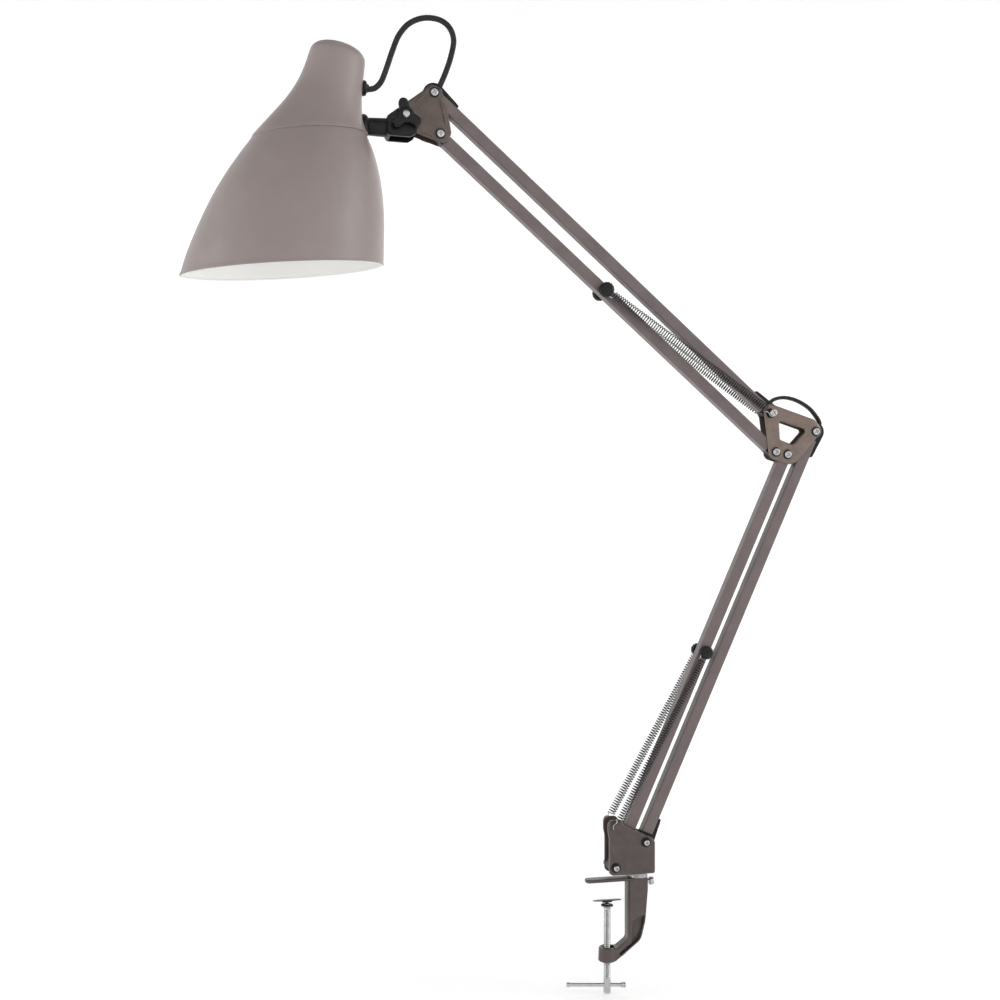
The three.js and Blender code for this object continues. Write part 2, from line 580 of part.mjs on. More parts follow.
function tiltBolt() {
  const body = join(
    rod("y", -18.4, CHEEK_OUT + GAP + 0.5, K, TILT_BOLT),
    turned(K, [[0, 14], [3.4, 13.4], [5.2, 12], [5.2, CHEEK_OUT + GAP], [0, CHEEK_OUT + GAP]].reverse(), 24),
    turned(K, [[0, -19.6], [2.4, -19.2], [3.2, -18.2], [3.2, -17.4], [0, -17.4]], 20),
  );
  return body;
}

// The wing knob: a hub with three rounded lobes.
function wingKnob() {
  const [near, far] = [-CHEEK_OUT - GAP, -17.1];
  let body = rod("y", far, near, K, 6.2, undefined, 18);
  for (const angle of [101, 332, 222]) {
    const dir = [Math.cos(rad(angle)), Math.sin(rad(angle))];
    const tip = plus(K, dir, 9.4);
    const lobe = rod("y", far + 0.7, near - 1.4, tip, 3.1, undefined, 16);
    const web = rod("y", far + 0.7, near - 1.4, plus(K, dir, 4), 4, undefined, 16);
    body = join(body, lobe.add(web).hull());
  }
  return cut(body, hole(K, -20, 0, TILT_BOLT + GAP));
}

piece("yoke", yoke(), BLACK);
piece("tilt_bolt", tiltBolt(), CHROME);
piece("wing_knob", wingKnob(), BLACK);

// ---------------------------------------------------------------- shade
// Stations of the shade's skin in its own frame: the rim's centre is the origin and +Z is up the shade.
const BELL = [
  { x: 0, z: 0, radius: 83 }, { x: 4.6, z: 18, radius: 80.2 }, { x: 10.2, z: 37, radius: 76.2 },
  { x: 15.8, z: 56.5, radius: 70.8 }, { x: 21.2, z: 75, radius: 63.9 }, { x: 26.2, z: 92, radius: 55.6 },
  { x: 30.6, z: 108.6, radius: 45.6 },
];
const NECK = [
  { x: 30.9, z: 109.2, radius: 46.4, tilt: 0 }, { x: 37.7, z: 121, radius: 37.9, tilt: -5 },
  { x: 44, z: 132, radius: 31.7, tilt: -9 }, { x: 49.1, z: 142.7, radius: 27.6, tilt: -12 },
  { x: 53.6, z: 154, radius: 25, tilt: -15 }, { x: 58.6, z: 169.6, radius: 23, tilt: -17 },
];
const NECK_TOP = NECK[NECK.length - 1];
const DOME_HEIGHT = 11;
const DOME_STEPS = 3;

const shadeFrame = new THREE.Matrix4()
  .makeTranslation(0, 0, STEM_Z)
  .multiply(new THREE.Matrix4().makeRotationX(rad(SHADE_ROLL)))
  .multiply(new THREE.Matrix4().makeTranslation(SHADE_RIM[0], 0, SHADE_RIM[1] - STEM_Z))
  .multiply(new THREE.Matrix4().makeRotationY(-rad(SHADE_LEAN)));
const inShade = (body) => body.transform(shadeFrame.elements);
const rolled = (body) => body.translate([0, 0, -STEM_Z]).rotate([SHADE_ROLL, 0, 0]).translate([0, 0, STEM_Z]);

// The rings between two stations, for a smooth curve through them.
function smooth(stations, perSpan = 1) {
  const keys = ["x", "z", "radius", "tilt"];
  const out = [];
  const pick = (i, key) => stations[THREE.MathUtils.clamp(i, 0, stations.length - 1)][key] ?? 0;
  for (let i = 0; i < stations.length - 1; i++) {
    for (let k = 0; k < perSpan; k++) {
      const t = k / perSpan;
      const ring = {};
      for (const key of keys) {
        const [a, b, c, d] = [pick(i - 1, key), pick(i, key), pick(i + 1, key), pick(i + 2, key)];
        ring[key] = b + 0.5 * t * (c - a + t * (2 * a - 5 * b + 4 * c - d + t * (3 * (b - c) + d - a)));
      }
      out.push(ring);
    }
  }
  out.push({ tilt: 0, ...stations[stations.length - 1] });
  return out;
}

// A ring moved up its own axis and narrowed.
const raised = (ring, up, less) => ({
  x: ring.x - up * Math.sin(rad(ring.tilt)),
  z: ring.z + up * Math.cos(rad(ring.tilt)),
  radius: ring.radius - less,
  tilt: ring.tilt,
});

// The dome that closes the neck: rings of an ellipse up to a point.
function domeRings(wall) {
  const rings = [];
  for (let k = 1; k < DOME_STEPS; k++) {
    const angle = ((Math.PI / 2) * k) / DOME_STEPS;
    const radius = (NECK_TOP.radius - wall) * Math.cos(angle) ** 0.72;
    const up = (DOME_HEIGHT - wall) * Math.sin(angle);
    rings.push({ ...raised(NECK_TOP, up, 0), radius });
  }
  rings.push({ ...raised(NECK_TOP, DOME_HEIGHT - wall, 0), radius: 0 });
  return rings;
}

function shadeBell() {
  const outside = smooth(BELL);
  const inside = outside.map((ring) => ({ ...ring, radius: ring.radius - BELL_WALL * 1.1 }));
  return inShade(ringStack([...outside, ...inside.reverse()], true));
}

function shadeNeck() {
  const outside = smooth(NECK);
  const inside = outside.map((ring) => ({ ...ring, radius: ring.radius - BELL_WALL }));
  const rings = [...domeRings(BELL_WALL).reverse(), ...inside.reverse(), ...outside, ...domeRings(0)];
  return inShade(ringStack(rings, false));
}

// The whole shade as a filled solid, a little larger or smaller, used to fit pieces to its wall.
function shadeCore(grow) {
  const rings = [...smooth(BELL), ...smooth(NECK), ...domeRings(0)];
  const grown = rings.map((ring) => ({ ...ring, radius: ring.radius ? ring.radius + grow : 0 }));
  return inShade(ringStack([{ ...grown[0], z: 0, radius: 0 }, ...grown], false));
}

const stemHole = rod("x", -230, -200, [0, STEM_Z], 3 + GAP, undefined, 18);
const glandAxis = [0, 668.8];
const glandHole = rolled(rod("x", -225, -200, glandAxis, 3.4, undefined, 18));
const bell = shadeBell();
const neck = shadeNeck();
const wallOutside = shadeCore(GAP);
const wallInside = shadeCore(-BELL_WALL * 1.1 - GAP);

function collar() {
  const body = join(
    rod("x", -222, COLLAR_X - 1.6, [0, STEM_Z], 10.2, 9.6, 20),
    rod("x", COLLAR_X - 1.7, COLLAR_X, [0, STEM_Z], 9.6, 8, 20),
  );
  return cut(cut(body, wallOutside), stemHole);
}

// The hollow bolt that holds the shade to the yoke, with a nut head inside the shade.
function stem() {
  const head = rod("x", -221.5, -216.5, [0, STEM_Z], 6.4, 6, 6).intersect(wallInside);
  return join(head, rod("x", -220, -186, [0, STEM_Z], 3, undefined, 18));
}

function gland() {
  const outsideFlange = cut(rolled(rod("x", -214, -205.6, glandAxis, 5.8, 4.9, 16)), wallOutside);
  const throat = rolled(rod("x", -212.6, -207, glandAxis, 3.4 - GAP, undefined, 18));
  return outsideFlange.add(throat);
}

// Lampholder in the neck, on the neck's own axis.
function lampholder() {
  const top = raised(NECK_TOP, -2, 0);
  const profile = [[0, 0], [12, 0], [14.5, -3], [14.5, -14], [18.6, -17], [18.6, -36], [17.4, -38], [17.4, -43]];
  profile.push([13.6, -43], [13.6, -18], [0, -18]);
  const points = profile.reverse().map(([r, y]) => new THREE.Vector2(r, y));
  const body = solid(new THREE.LatheGeometry(points, 20).rotateX(Math.PI / 2));
  return inShade(body.rotate([0, -top.tilt, 0]).translate([top.x, 0, top.z]));
}

piece("shade_bell", cut(bell, stemHole), TAUPE);
piece("shade_neck", cut(neck, stemHole, glandHole), TAUPE);
piece("shade_collar", collar(), BLACK);
piece("shade_stem", stem(), STEEL);
piece("cable_gland", gland(), BLACK);
piece("lampholder", lampholder(), WHITE);

// ---------------------------------------------------------------- cables
const HEAD_CABLE = [
  [-205, 0, 669.2], [-200, 0, 670.6], [-195, 0, 676.5], [-190.6, 0, 688], [-186, 0, 702], [-180.5, 0, 715.6],
  [-172, 0, 726], [-160, 0, 731.6], [-147, 0, 731.4], [-138, 0, 725.6], [-134.2, 0, 715],
  [-136.4, 0, 701], [-141, 0, 688.4], [-144.2, 0, 680.6],
];
const ELBOW_CABLE = [
  [152.4, 0, 414.6], [158, 0, 418.4], [167, 0, 419.6], [177.5, 0, 416.7], [187.9, 0, 410.7],
  [195.3, 0, 402.6], [199, 0, 397],
];
piece("head_cable", cordTube(HEAD_CABLE, 2.2, 20), BLACK);
piece("elbow_cable", cordTube(ELBOW_CABLE, 1.4, 14), BLACK);

export default lamp;
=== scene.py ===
import json
import math

import bmesh
import bpy
import numpy as np
from mathutils import Matrix, Vector
from mathutils.geometry import tessellate_polygon


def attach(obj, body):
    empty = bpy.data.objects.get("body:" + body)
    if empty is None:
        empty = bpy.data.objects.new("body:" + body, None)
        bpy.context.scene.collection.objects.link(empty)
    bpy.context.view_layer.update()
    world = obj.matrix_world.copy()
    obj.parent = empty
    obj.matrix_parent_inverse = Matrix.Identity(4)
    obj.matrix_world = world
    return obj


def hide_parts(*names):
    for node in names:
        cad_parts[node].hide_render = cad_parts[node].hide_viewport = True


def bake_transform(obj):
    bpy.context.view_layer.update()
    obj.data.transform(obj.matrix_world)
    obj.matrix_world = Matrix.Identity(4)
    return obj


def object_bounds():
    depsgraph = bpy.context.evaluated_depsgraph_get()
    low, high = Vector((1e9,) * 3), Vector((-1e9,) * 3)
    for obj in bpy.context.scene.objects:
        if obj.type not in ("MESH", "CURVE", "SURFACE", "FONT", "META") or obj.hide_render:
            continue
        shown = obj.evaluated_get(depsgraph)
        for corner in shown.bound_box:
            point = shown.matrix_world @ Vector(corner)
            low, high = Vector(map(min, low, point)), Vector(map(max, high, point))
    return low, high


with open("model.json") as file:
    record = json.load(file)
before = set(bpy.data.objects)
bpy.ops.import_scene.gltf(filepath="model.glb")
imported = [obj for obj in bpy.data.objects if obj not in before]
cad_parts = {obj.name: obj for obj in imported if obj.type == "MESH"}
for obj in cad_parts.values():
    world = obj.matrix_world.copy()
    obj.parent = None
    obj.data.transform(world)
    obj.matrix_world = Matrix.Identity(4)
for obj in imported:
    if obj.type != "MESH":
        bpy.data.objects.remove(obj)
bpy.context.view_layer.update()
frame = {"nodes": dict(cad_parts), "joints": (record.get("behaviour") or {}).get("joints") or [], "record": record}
MM = 0.001  # the lengths below are in millimetres, in the frame of the part


# ---------------------------------------------------------------- camera
camera_data = bpy.data.cameras.new("camera")
camera_data.lens = 45
camera_data.sensor_width = 36
camera_data.clip_start = 0.01
camera = bpy.data.objects.new("camera", camera_data)
camera.location = (-0.3145, -1.0356, 0.3287)
camera.rotation_euler = Vector((0.2079, 0.9781, 0.0)).to_track_quat("-Z", "Y").to_euler()
bpy.context.scene.collection.objects.link(camera)
bpy.context.scene.camera = camera


# ---------------------------------------------------------------- dimensions, as in the part's source
def unit(v):
    v = np.asarray(v, float)
    return v / np.linalg.norm(v)


def plus(a, b, k=1.0):
    return (a[0] + k * b[0], a[1] + k * b[1])


def direction(lean):
    return (math.sin(math.radians(lean)), math.cos(math.radians(lean)))


LOWER_DIR, LOWER_ARM = direction(24.15), 389.4
UPPER_DIR, UPPER_ARM = direction(-48.8), 398.6
P2 = (5.0, 13.7)
P1 = plus(P2, (27, 20.6))
D = plus(P2, LOWER_DIR, LOWER_ARM)
B = plus(D, (27, 20.6))
C = plus(D, (-11, 2.2))
A = plus(C, (-5.1, 34))
H2 = plus(C, UPPER_DIR, UPPER_ARM)
H1 = plus(H2, (-5.1, 34))
K = plus(H2, (-30.1, 11.6))
LOWER_KNOB = plus(P2, LOWER_DIR, 199.9)
UPPER_KNOB = plus(C, UPPER_DIR, 208.3)
LOWER_ANCHOR = (4.6, 49.4)
STEM_Z = 638.0


# ---------------------------------------------------------------- materials
def linear(rgb):
    out = []
    for c in rgb:
        c = c / 255
        out.append(c / 12.92 if c <= 0.04045 else ((c + 0.055) / 1.055) ** 2.4)
    return (*out, 1.0)


def surface(name, tones, rough, metallic=0.0, cloud=90, grain=None, coat=None, stretch=(1, 1, 1),
        extra=None):
    """A painted, plated or moulded surface: colour drifts between two tones in a soft cloud, roughness drifts
    between two values at a finer scale, and a grain of (scale, height in metres, strength) raises the skin."""
    made = bpy.data.materials.new(name)
    made.use_nodes = True
    nodes, links = made.node_tree.nodes, made.node_tree.links
    nodes.clear()
    out = nodes.new("ShaderNodeOutputMaterial")
    shader = nodes.new("ShaderNodeBsdfPrincipled")
    links.new(shader.outputs[0], out.inputs["Surface"])
    shader.inputs["Metallic"].default_value = metallic
    place = nodes.new("ShaderNodeTexCoord")
    mapping = nodes.new("ShaderNodeMapping")
    mapping.inputs["Scale"].default_value = stretch
    links.new(place.outputs["Object"], mapping.inputs["Vector"])

    def noise(scale, detail=4.0, roughness=0.55):
        node = nodes.new("ShaderNodeTexNoise")
        node.inputs["Scale"].default_value = scale
        node.inputs["Detail"].default_value = detail
        node.inputs["Roughness"].default_value = roughness
        links.new(mapping.outputs[0], node.inputs["Vector"])
        return node

    drift = noise(cloud)
    ramp = nodes.new("ShaderNodeValToRGB")
    ramp.color_ramp.elements[0].position = 0.34
    ramp.color_ramp.elements[0].color = linear(tones[0])
    ramp.color_ramp.elements[1].position = 0.66
    ramp.color_ramp.elements[1].color = linear(tones[1])
    links.new(drift.outputs["Fac"], ramp.inputs["Fac"])
    links.new(ramp.outputs["Color"], shader.inputs["Base Color"])
    fine = noise(cloud * 4.3, 5.0, 0.6)
    spread = nodes.new("ShaderNodeMapRange")
    spread.inputs["From Min"].default_value = 0.3
    spread.inputs["From Max"].default_value = 0.7
    spread.inputs["To Min"].default_value = rough[0]
    spread.inputs["To Max"].default_value = rough[1]
    links.new(fine.outputs["Fac"], spread.inputs["Value"])
    links.new(spread.outputs["Result"], shader.inputs["Roughness"])
    if grain:
        scale, height, strength = grain
        skin = noise(scale, 3.0, 0.5)
        bump = nodes.new("ShaderNodeBump")
        bump.inputs["Distance"].default_value = height
        bump.inputs["Strength"].default_value = strength
        links.new(skin.outputs["Fac"], bump.inputs["Height"])
        links.new(bump.outputs["Normal"], shader.inputs["Normal"])
    if coat:
        shader.inputs["Coat Weight"].default_value = coat[0]
        shader.inputs["Coat Roughness"].default_value = coat[1]
    for socket, value in (extra or {}).items():
        shader.inputs[socket].default_value = value
    return made


SHADE_PAINT = surface("shade_paint", ((138, 126, 123), (143, 131, 128)), (0.40, 0.48), 0.0, 22,
    (1500, 0.00004, 0.35), (0.12, 0.32))
SHADE_WHITE = surface("shade_white", ((246, 245, 243), (250, 249, 247)), (0.42, 0.52), 0.0, 30,
    (1300, 0.00004, 0.3))
BAR_PAINT = surface("bar_paint", ((101, 89, 89), (109, 97, 96)), (0.36, 0.46), 0.15, 60, (1800, 0.00003,
    0.35), (0.15, 0.3))
CAST_PAINT = surface("cast_paint", ((70, 60, 58), (80, 69, 66)), (0.34, 0.46), 0.2, 110, (900, 0.00008,
    0.5), (0.2, 0.3))
# The elbow plates and the head plates have one paint. This lighter copy is painted light for the elbow, and the
# darker copy below is painted shade for the head plates.
PLATE_PAINT_LIT = surface("plate_paint", ((110, 96, 89), (124, 108, 99)), (0.26, 0.38), 0.5, 120,
    (1400, 0.00003, 0.4), (0.25, 0.2))
HEAD_PLATE_PAINT_SHADED = surface("head_plate_paint_shaded", ((82, 70, 66), (94, 81, 75)), (0.26, 0.38), 0.5, 120,
    (1400, 0.00003, 0.4), (0.25, 0.2))
BLACK_PLASTIC = surface("black_plastic", ((9, 9, 10), (14, 14, 15)), (0.3, 0.44), 0.0, 150,
    (1600, 0.00004, 0.45),
                        extra={"Specular IOR Level": 0.3})
CHROME = surface("chrome", ((176, 175, 176), (192, 191, 192)), (0.07, 0.16), 1.0, 130, (700, 0.00002,
    0.25))
ZINC = surface("zinc_steel", ((138, 137, 137), (160, 159, 159)), (0.22, 0.38), 1.0, 240, (1100, 0.00004,
    0.4))
SPRING = surface("spring_steel", ((20, 21, 22), (31, 32, 33)), (0.26, 0.38), 0.35, 400, (2500, 0.00002,
    0.3))
HOOK = surface("spring_hook", ((186, 186, 187), (208, 208, 209)), (0.14, 0.26), 1.0, 300,
    (2500, 0.00002, 0.3))
SHEATH = surface("cable_sheath", ((12, 12, 13), (19, 19, 20)), (0.24, 0.34), 0.0, 260, (2200, 0.00003,
    0.35),
                 extra={"Specular IOR Level": 0.4})
PAD_STEEL = surface("pad_steel", ((40, 39, 40), (58, 57, 58)), (0.26, 0.42), 1.0, 240, (1100, 0.00004,
    0.4))
HOLDER = surface("holder_plastic", ((222, 219, 211), (232, 230, 223)), (0.3, 0.42), 0.0, 160,
    (1500, 0.00003, 0.3))
BRASS = surface("holder_brass", ((176, 146, 88), (198, 168, 108)), (0.2, 0.34), 1.0, 300,
    (1500, 0.00003, 0.4))
FLOOR = surface("floor", ((240, 240, 240), (243, 243, 243)), (0.85, 0.9), 0.0, 3,
                extra={"Emission Color": (1, 1, 1, 1), "Emission Strength": 0.27})
SLOT_MATERIALS = {
    "shade_paint": SHADE_PAINT, "bar_paint": BAR_PAINT, "cast_paint": CAST_PAINT,
    "plate_paint": PLATE_PAINT_LIT,
    "black_plastic": BLACK_PLASTIC, "chrome": CHROME, "zinc_steel": ZINC, "spring_steel": SPRING,
    "cable_sheath": SHEATH, "holder_plastic": HOLDER,
}


# ---------------------------------------------------------------- mesh building
class Shape:
    """Vertices in millimetres and faces, added up from several skins, each with its own material number."""

    def __init__(self):
        self.vertices, self.faces, self.numbers = [], [], []

    def add(self, skin, number=0):
        vertices, faces = skin
        base = len(self.vertices)
        self.vertices += [tuple(map(float, v)) for v in vertices]
        self.faces += [tuple(base + i for i in f) for f in faces]
        self.numbers += [number] * len(faces)
        return self


def build(name, shape, materials, body=None, replaces=(), sharp=32):
    mesh = bpy.data.meshes.new(name)
    mesh.from_pydata([tuple(MM * c for c in v) for v in shape.vertices], [], shape.faces)
    mesh.polygons.foreach_set("material_index", shape.numbers)
    for m in materials if isinstance(materials, (list, tuple)) else [materials]:
        mesh.materials.append(m)
    work = bmesh.new()
    work.from_mesh(mesh)
    bmesh.ops.recalc_face_normals(work, faces=work.faces)
    work.to_mesh(mesh)
    work.free()
    mesh.polygons.foreach_set("use_smooth", [True] * len(mesh.polygons))
    mesh.set_sharp_from_angle(angle=math.radians(sharp))
    piece = bpy.data.objects.new(name, mesh)
    bpy.context.scene.collection.objects.link(piece)
    if body:
        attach(piece, body)
    if replaces:
        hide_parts(*([replaces] if isinstance(replaces, str) else replaces))
    return piece


def moved(skin, matrix):
    vertices, faces = skin
    return [matrix @ Vector(v) for v in vertices], faces


def on_y(at):
    """Turned pieces are made along +Z; this lays one along +Y through a point of the XZ plane."""
    return Matrix(((1, 0, 0, at[0]), (0, 0, 1, 0), (0, 1, 0, at[1]), (0, 0, 0, 1)))


def on_x(y, z):
    return Matrix(((0, 0, 1, 0), (1, 0, 0, y), (0, 1, 0, z), (0, 0, 0, 1)))


def turned(profile, place=None, sides=40):
    """A turned skin: profile points are (radius, height)."""
    vertices, faces, rows = [], [], []
    for radius, height in profile:
        if radius < 1e-6:
            rows.append([len(vertices)])
            vertices.append((0, 0, height))
            continue
        rows.append(list(range(len(vertices), len(vertices) + sides)))
        for i in range(sides):
            angle = 2 * math.pi * i / sides
            vertices.append((radius * math.cos(angle), radius * math.sin(angle), height))
    for low, high in zip(rows, rows[1:]):
        for i in range(sides):
            j = (i + 1) % sides
            if len(low) == 1 and len(high) == 1:
                break
            if len(low) == 1:
                faces.append((low[0], high[j], high[i]))
            elif len(high) == 1:
                faces.append((low[i], low[j], high[0]))
            else:
                faces.append((low[i], low[j], high[j], high[i]))
    return moved((vertices, faces), place) if place else (vertices, faces)


def softened(points, radius=0.4, steps=3):
    """A profile with its inner corners rounded."""
    out = [points[0]]
    for before, corner, after in zip(points, points[1:], points[2:]):
        a, c, b = (np.array(p, float) for p in (before, corner, after))
        reach = min(radius, 0.45 * np.linalg.norm(a - c), 0.45 * np.linalg.norm(b - c))
        start, end = c + reach * unit(a - c), c + reach * unit(b - c)
        for k in range(steps + 1):
            t = k / steps
            out.append(tuple((1 - t) ** 2 * start + 2 * t * (1 - t) * c + t * t * end))
    return out + [points[-1]]


def outline(points, steps=7):
    """A closed outline in XZ with rounded corners, as a list of (x, z). Points are (x, z, radius)."""
    out = []
    count = len(points)
    for i, (x, z, radius) in enumerate(points):
        corner = np.array((x, z), float)
        into = unit(np.array(points[i - 1][:2]) - corner)
        away = unit(np.array(points[(i + 1) % count][:2]) - corner)
        half = math.acos(max(-1, min(1, into @ away))) / 2
        if radius <= 0 or half > math.pi / 2 - 0.01:
            out.append(tuple(corner))
            continue
        centre = corner + unit(into + away) * radius / math.sin(half)
        start = corner + into * radius / math.tan(half)
        first = math.atan2(*(start - centre)[::-1])
        turn = math.pi - 2 * half
        side = math.copysign(1, into[0] * away[1] - into[1] * away[0])
        for k in range(steps + 1):
            angle = first - side * turn * k / steps
            out.append((centre[0] + radius * math.cos(angle), centre[1] + radius * math.sin(angle)))
    return out


def signed_area(points):
    p = np.array(points)
    q = np.roll(p, -1, axis=0)
    return 0.5 * float((p[:, 0] * q[:, 1] - q[:, 0] * p[:, 1]).sum())


def inset(points, distance):
    """The outline moved inwards, by its own normals."""
    p = np.array(points, float)
    if abs(distance) < 1e-9:
        return p
    sign = math.copysign(1, signed_area(points))
    before, after = p - np.roll(p, 1, axis=0), np.roll(p, -1, axis=0) - p
    before /= np.linalg.norm(before, axis=1)[:, None]
    after /= np.linalg.norm(after, axis=1)[:, None]
    n1 = sign * np.stack([-before[:, 1], before[:, 0]], axis=1)
    n2 = sign * np.stack([-after[:, 1], after[:, 0]], axis=1)
    share = 1 + (n1 * n2).sum(1)
    return p + distance * (n1 + n2) / np.maximum(share, 0.4)[:, None]


def pressed(outer, rims, holes=(), hole_rims=None):
    """A plate in XZ with shaped rims: rims are (inset, y) from one face to the other, and holes take hole_rims."""
    vertices, faces = [], []
    caps = [[], []]
    loops = [(outer, rims, 1)] + [(h, hole_rims or rims, -1) for h in holes]
    for points, rim, way in loops:
        rows = []
        for distance, y in rim:
            ring = inset(points, way * distance)
            rows.append(list(range(len(vertices), len(vertices) + len(ring))))
            vertices += [(x, y, z) for x, z in ring]
        for low, high in zip(rows, rows[1:]):
            for i in range(len(low)):
                j = (i + 1) % len(low)
                faces.append((low[i], low[j], high[j], high[i]))
        caps[0].append(rows[0])
        caps[1].append(rows[-1])
    for cap in caps:
        flat = [i for loop in cap for i in loop]
        plane = [[Vector((vertices[i][0], vertices[i][2], 0)) for i in loop] for loop in cap]
        for triangle in tessellate_polygon(plane):
            faces.append(tuple(flat[i] for i in triangle))
    return vertices, faces


def mirrored(rims, side):
    return [(distance, side * y) for distance, y in rims]


def smooth_path(points, per_span=8):
    """A Catmull-Rom curve through the points."""
    p = np.array(points, float)
    p = np.vstack([2 * p[0] - p[1], p, 2 * p[-1] - p[-2]])
    out = []
    for i in range(1, len(p) - 2):
        a, b, c, d = p[i - 1 : i + 3]
        for k in range(per_span):
            t = k / per_span
            out.append(b + 0.5 * t * (c - a + t * (2 * a - 5 * b + 4 * c - d + t * (3 * (b - c) + d
                - a))))
    return np.array(out + [p[-2]])


def swept(path, section, across=None, caps=True):
    """A tube along a path. section is a list of (u, v) or a function of the point's number. across keeps v
    in one direction; otherwise the frame is carried along without twist."""
    path = np.array(path, float)
    tangent = np.gradient(path, axis=0)
    tangent /= np.linalg.norm(tangent, axis=1)[:, None]
    if across is None:
        seed = np.array((0, 1, 0)) if abs(tangent[0][1]) < 0.9 else np.array((1, 0, 0))
        v = unit(np.cross(tangent[0], seed))
    vertices, faces, rows = [], [], []
    for k, (point, t) in enumerate(zip(path, tangent)):
        v = unit(across - t * (across @ t)) if across is not None else unit(v - t * (v @ t))
        u = np.cross(v, t)
        ring = section(k) if callable(section) else section
        rows.append(list(range(len(vertices), len(vertices) + len(ring))))
        vertices += [tuple(point + a * u + b * v) for a, b in ring]
    for low, high in zip(rows, rows[1:]):
        for i in range(len(low)):
            j = (i + 1) % len(low)
            faces.append((low[i], low[j], high[j], high[i]))
    if caps:
        faces += [tuple(reversed(rows[0])), tuple(rows[-1])]
    return vertices, faces


def circle(radius, sides):
    return [(radius * math.cos(2 * math.pi * i / sides), radius * math.sin(2 * math.pi * i / sides))
        for i in range(sides)]


# ---------------------------------------------------------------- cables
# Two cored flat flex: the width is 4.8 mm and the thickness 2.9 mm, with a shallow groove between the cores.
FLEX_WIDTH, FLEX_THICK = 4.8, 2.9


def flex_section(sides=28, scale=1.0):
    out = []
    for i in range(sides):
        angle = 2 * math.pi * i / sides
        u, v = math.cos(angle), math.sin(angle)
        flat = FLEX_WIDTH / 2 * math.copysign(abs(u) ** 0.8, u)
        thick = FLEX_THICK / 2 * math.copysign(abs(v) ** 0.8,
            v) * (1 - 0.2 * math.exp(-((flat / 0.55) ** 2)))
        out.append((flat * scale, thick * scale))
    return out


HEAD_CABLE = [
    (-207.4, 0, 668.8), (-203.6, 0, 669.2), (-199.6, 0, 671), (-195, 0, 676.5), (-190.6, 0, 688),
    (-186, 0, 702), (-180.5, 0, 715.6),
    (-172, 0, 726), (-160, 0, 731.6), (-147, 0, 731.4), (-138, 0, 725.6), (-134.2, 0, 715),
    (-136.6, 0, 701), (-140.6, 0, 688.6), (-144.4, 0, 679.4), (-147.4, 0, 672.6),
]
ELBOW_CABLE = [
    (148.6, 0, 410.6), (151.6, 0, 416.2), (158.2, 0, 419.2), (167, 0, 419.6), (177.5, 0, 416.7),
    (187.9, 0, 410.7),
    (195.3, 0, 402.6), (198, 0, 397.4), (196.6, 0, 393.4),
]
AXIS_Y = np.array((0.0, 1.0, 0.0))


def cable(name, path, across, flat_in_plane, weights, replaces):
    section = flex_section(scale=1.0 if flat_in_plane else 1.15)
    if flat_in_plane:
        section = [(a, b) for a, b in section]
    else:
        section = [(b, a) for a, b in section]
    piece = build(name, Shape().add(swept(path, section, across)), SHEATH, None, replaces,
        60)
    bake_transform(piece)
    points = np.array([v.co for v in piece.data.vertices]) / MM
    near = np.array([np.argmin(((path - p) ** 2).sum(1)) for p in points]) / (len(path) - 1)
    weights(near).astype(np.float32)
    return piece


def ease(t):
    t = np.clip(t, 0, 1)
    return t * t * (3 - 2 * t)


head_path = smooth_path(HEAD_CABLE, 8)
split = int(np.argmax(head_path[:, 2]))
shade_run, bracket_run = head_path[: split + 1], head_path[split:]
cable("head_cable_shade_run", shade_run, AXIS_Y, True,
    lambda t: ease(1 - t * 1.05), ())
cable("head_cable_bracket_run", bracket_run, AXIS_Y, True,
    lambda t: ease(1.05 - t * 1.1), "head_cable")
elbow_path = smooth_path(ELBOW_CABLE, 8)
cable("elbow_cable_flex", elbow_path, AXIS_Y, False,
    lambda t: ease(1 - t * 1.1), "elbow_cable")


# ---------------------------------------------------------------- balance springs
def coil_path(start, end, start_eye, end_eye, radius, pitch, start_gap, end_gap, per_turn=14):
    """The wire's centre line: an eye round the knob, a neck, the coil, a neck and an eye round the far stud."""
    start, end = np.array(start, float), np.array(end, float)
    d = unit(end - start)
    length = float(np.linalg.norm(end - start))
    n = unit(np.cross(AXIS_Y, d))
    b = np.cross(d, n)
    flat = unit(d * (1, 0, 1))

    def eye(centre, away, r):
        return [centre + r * (math.cos(a) * away + math.sin(a) * n) for a in np.radians(np.arange(-42,
            -319, -12))]

    body = length - start_gap - end_gap
    turns = round(body / pitch)
    steps = turns * per_turn
    coil = []
    for k in range(steps + 1):
        angle = 2 * math.pi * k / per_turn
        coil.append(start + d * (start_gap + body * k / steps) + radius * (math.cos(angle) * n
            + math.sin(angle) * b))
    first, last = coil[0], coil[-1]
    eye_in = eye(start, flat, start_eye)
    eye_out = eye(end, -flat, end_eye)[::-1]
    neck_in = smooth_path([eye_in[-1], start + d * (start_eye + 1.3) + n * start_eye * 0.62,
                           start + d * (start_gap - 0.9) + n * radius * 0.86, first], 5)[1:-1]
    neck_out = smooth_path([last, end - d * (end_gap - 0.9) + n * radius * 0.86,
                            end - d * (end_eye + 1.3) + n * end_eye * 0.62, eye_out[0]], 5)[1:-1]
    path = np.array([*eye_in, *neck_in, *coil, *neck_out, *eye_out])
    hooks = len(eye_in) + len(neck_in), len(path) - len(eye_out) - len(neck_out)
    return path, hooks


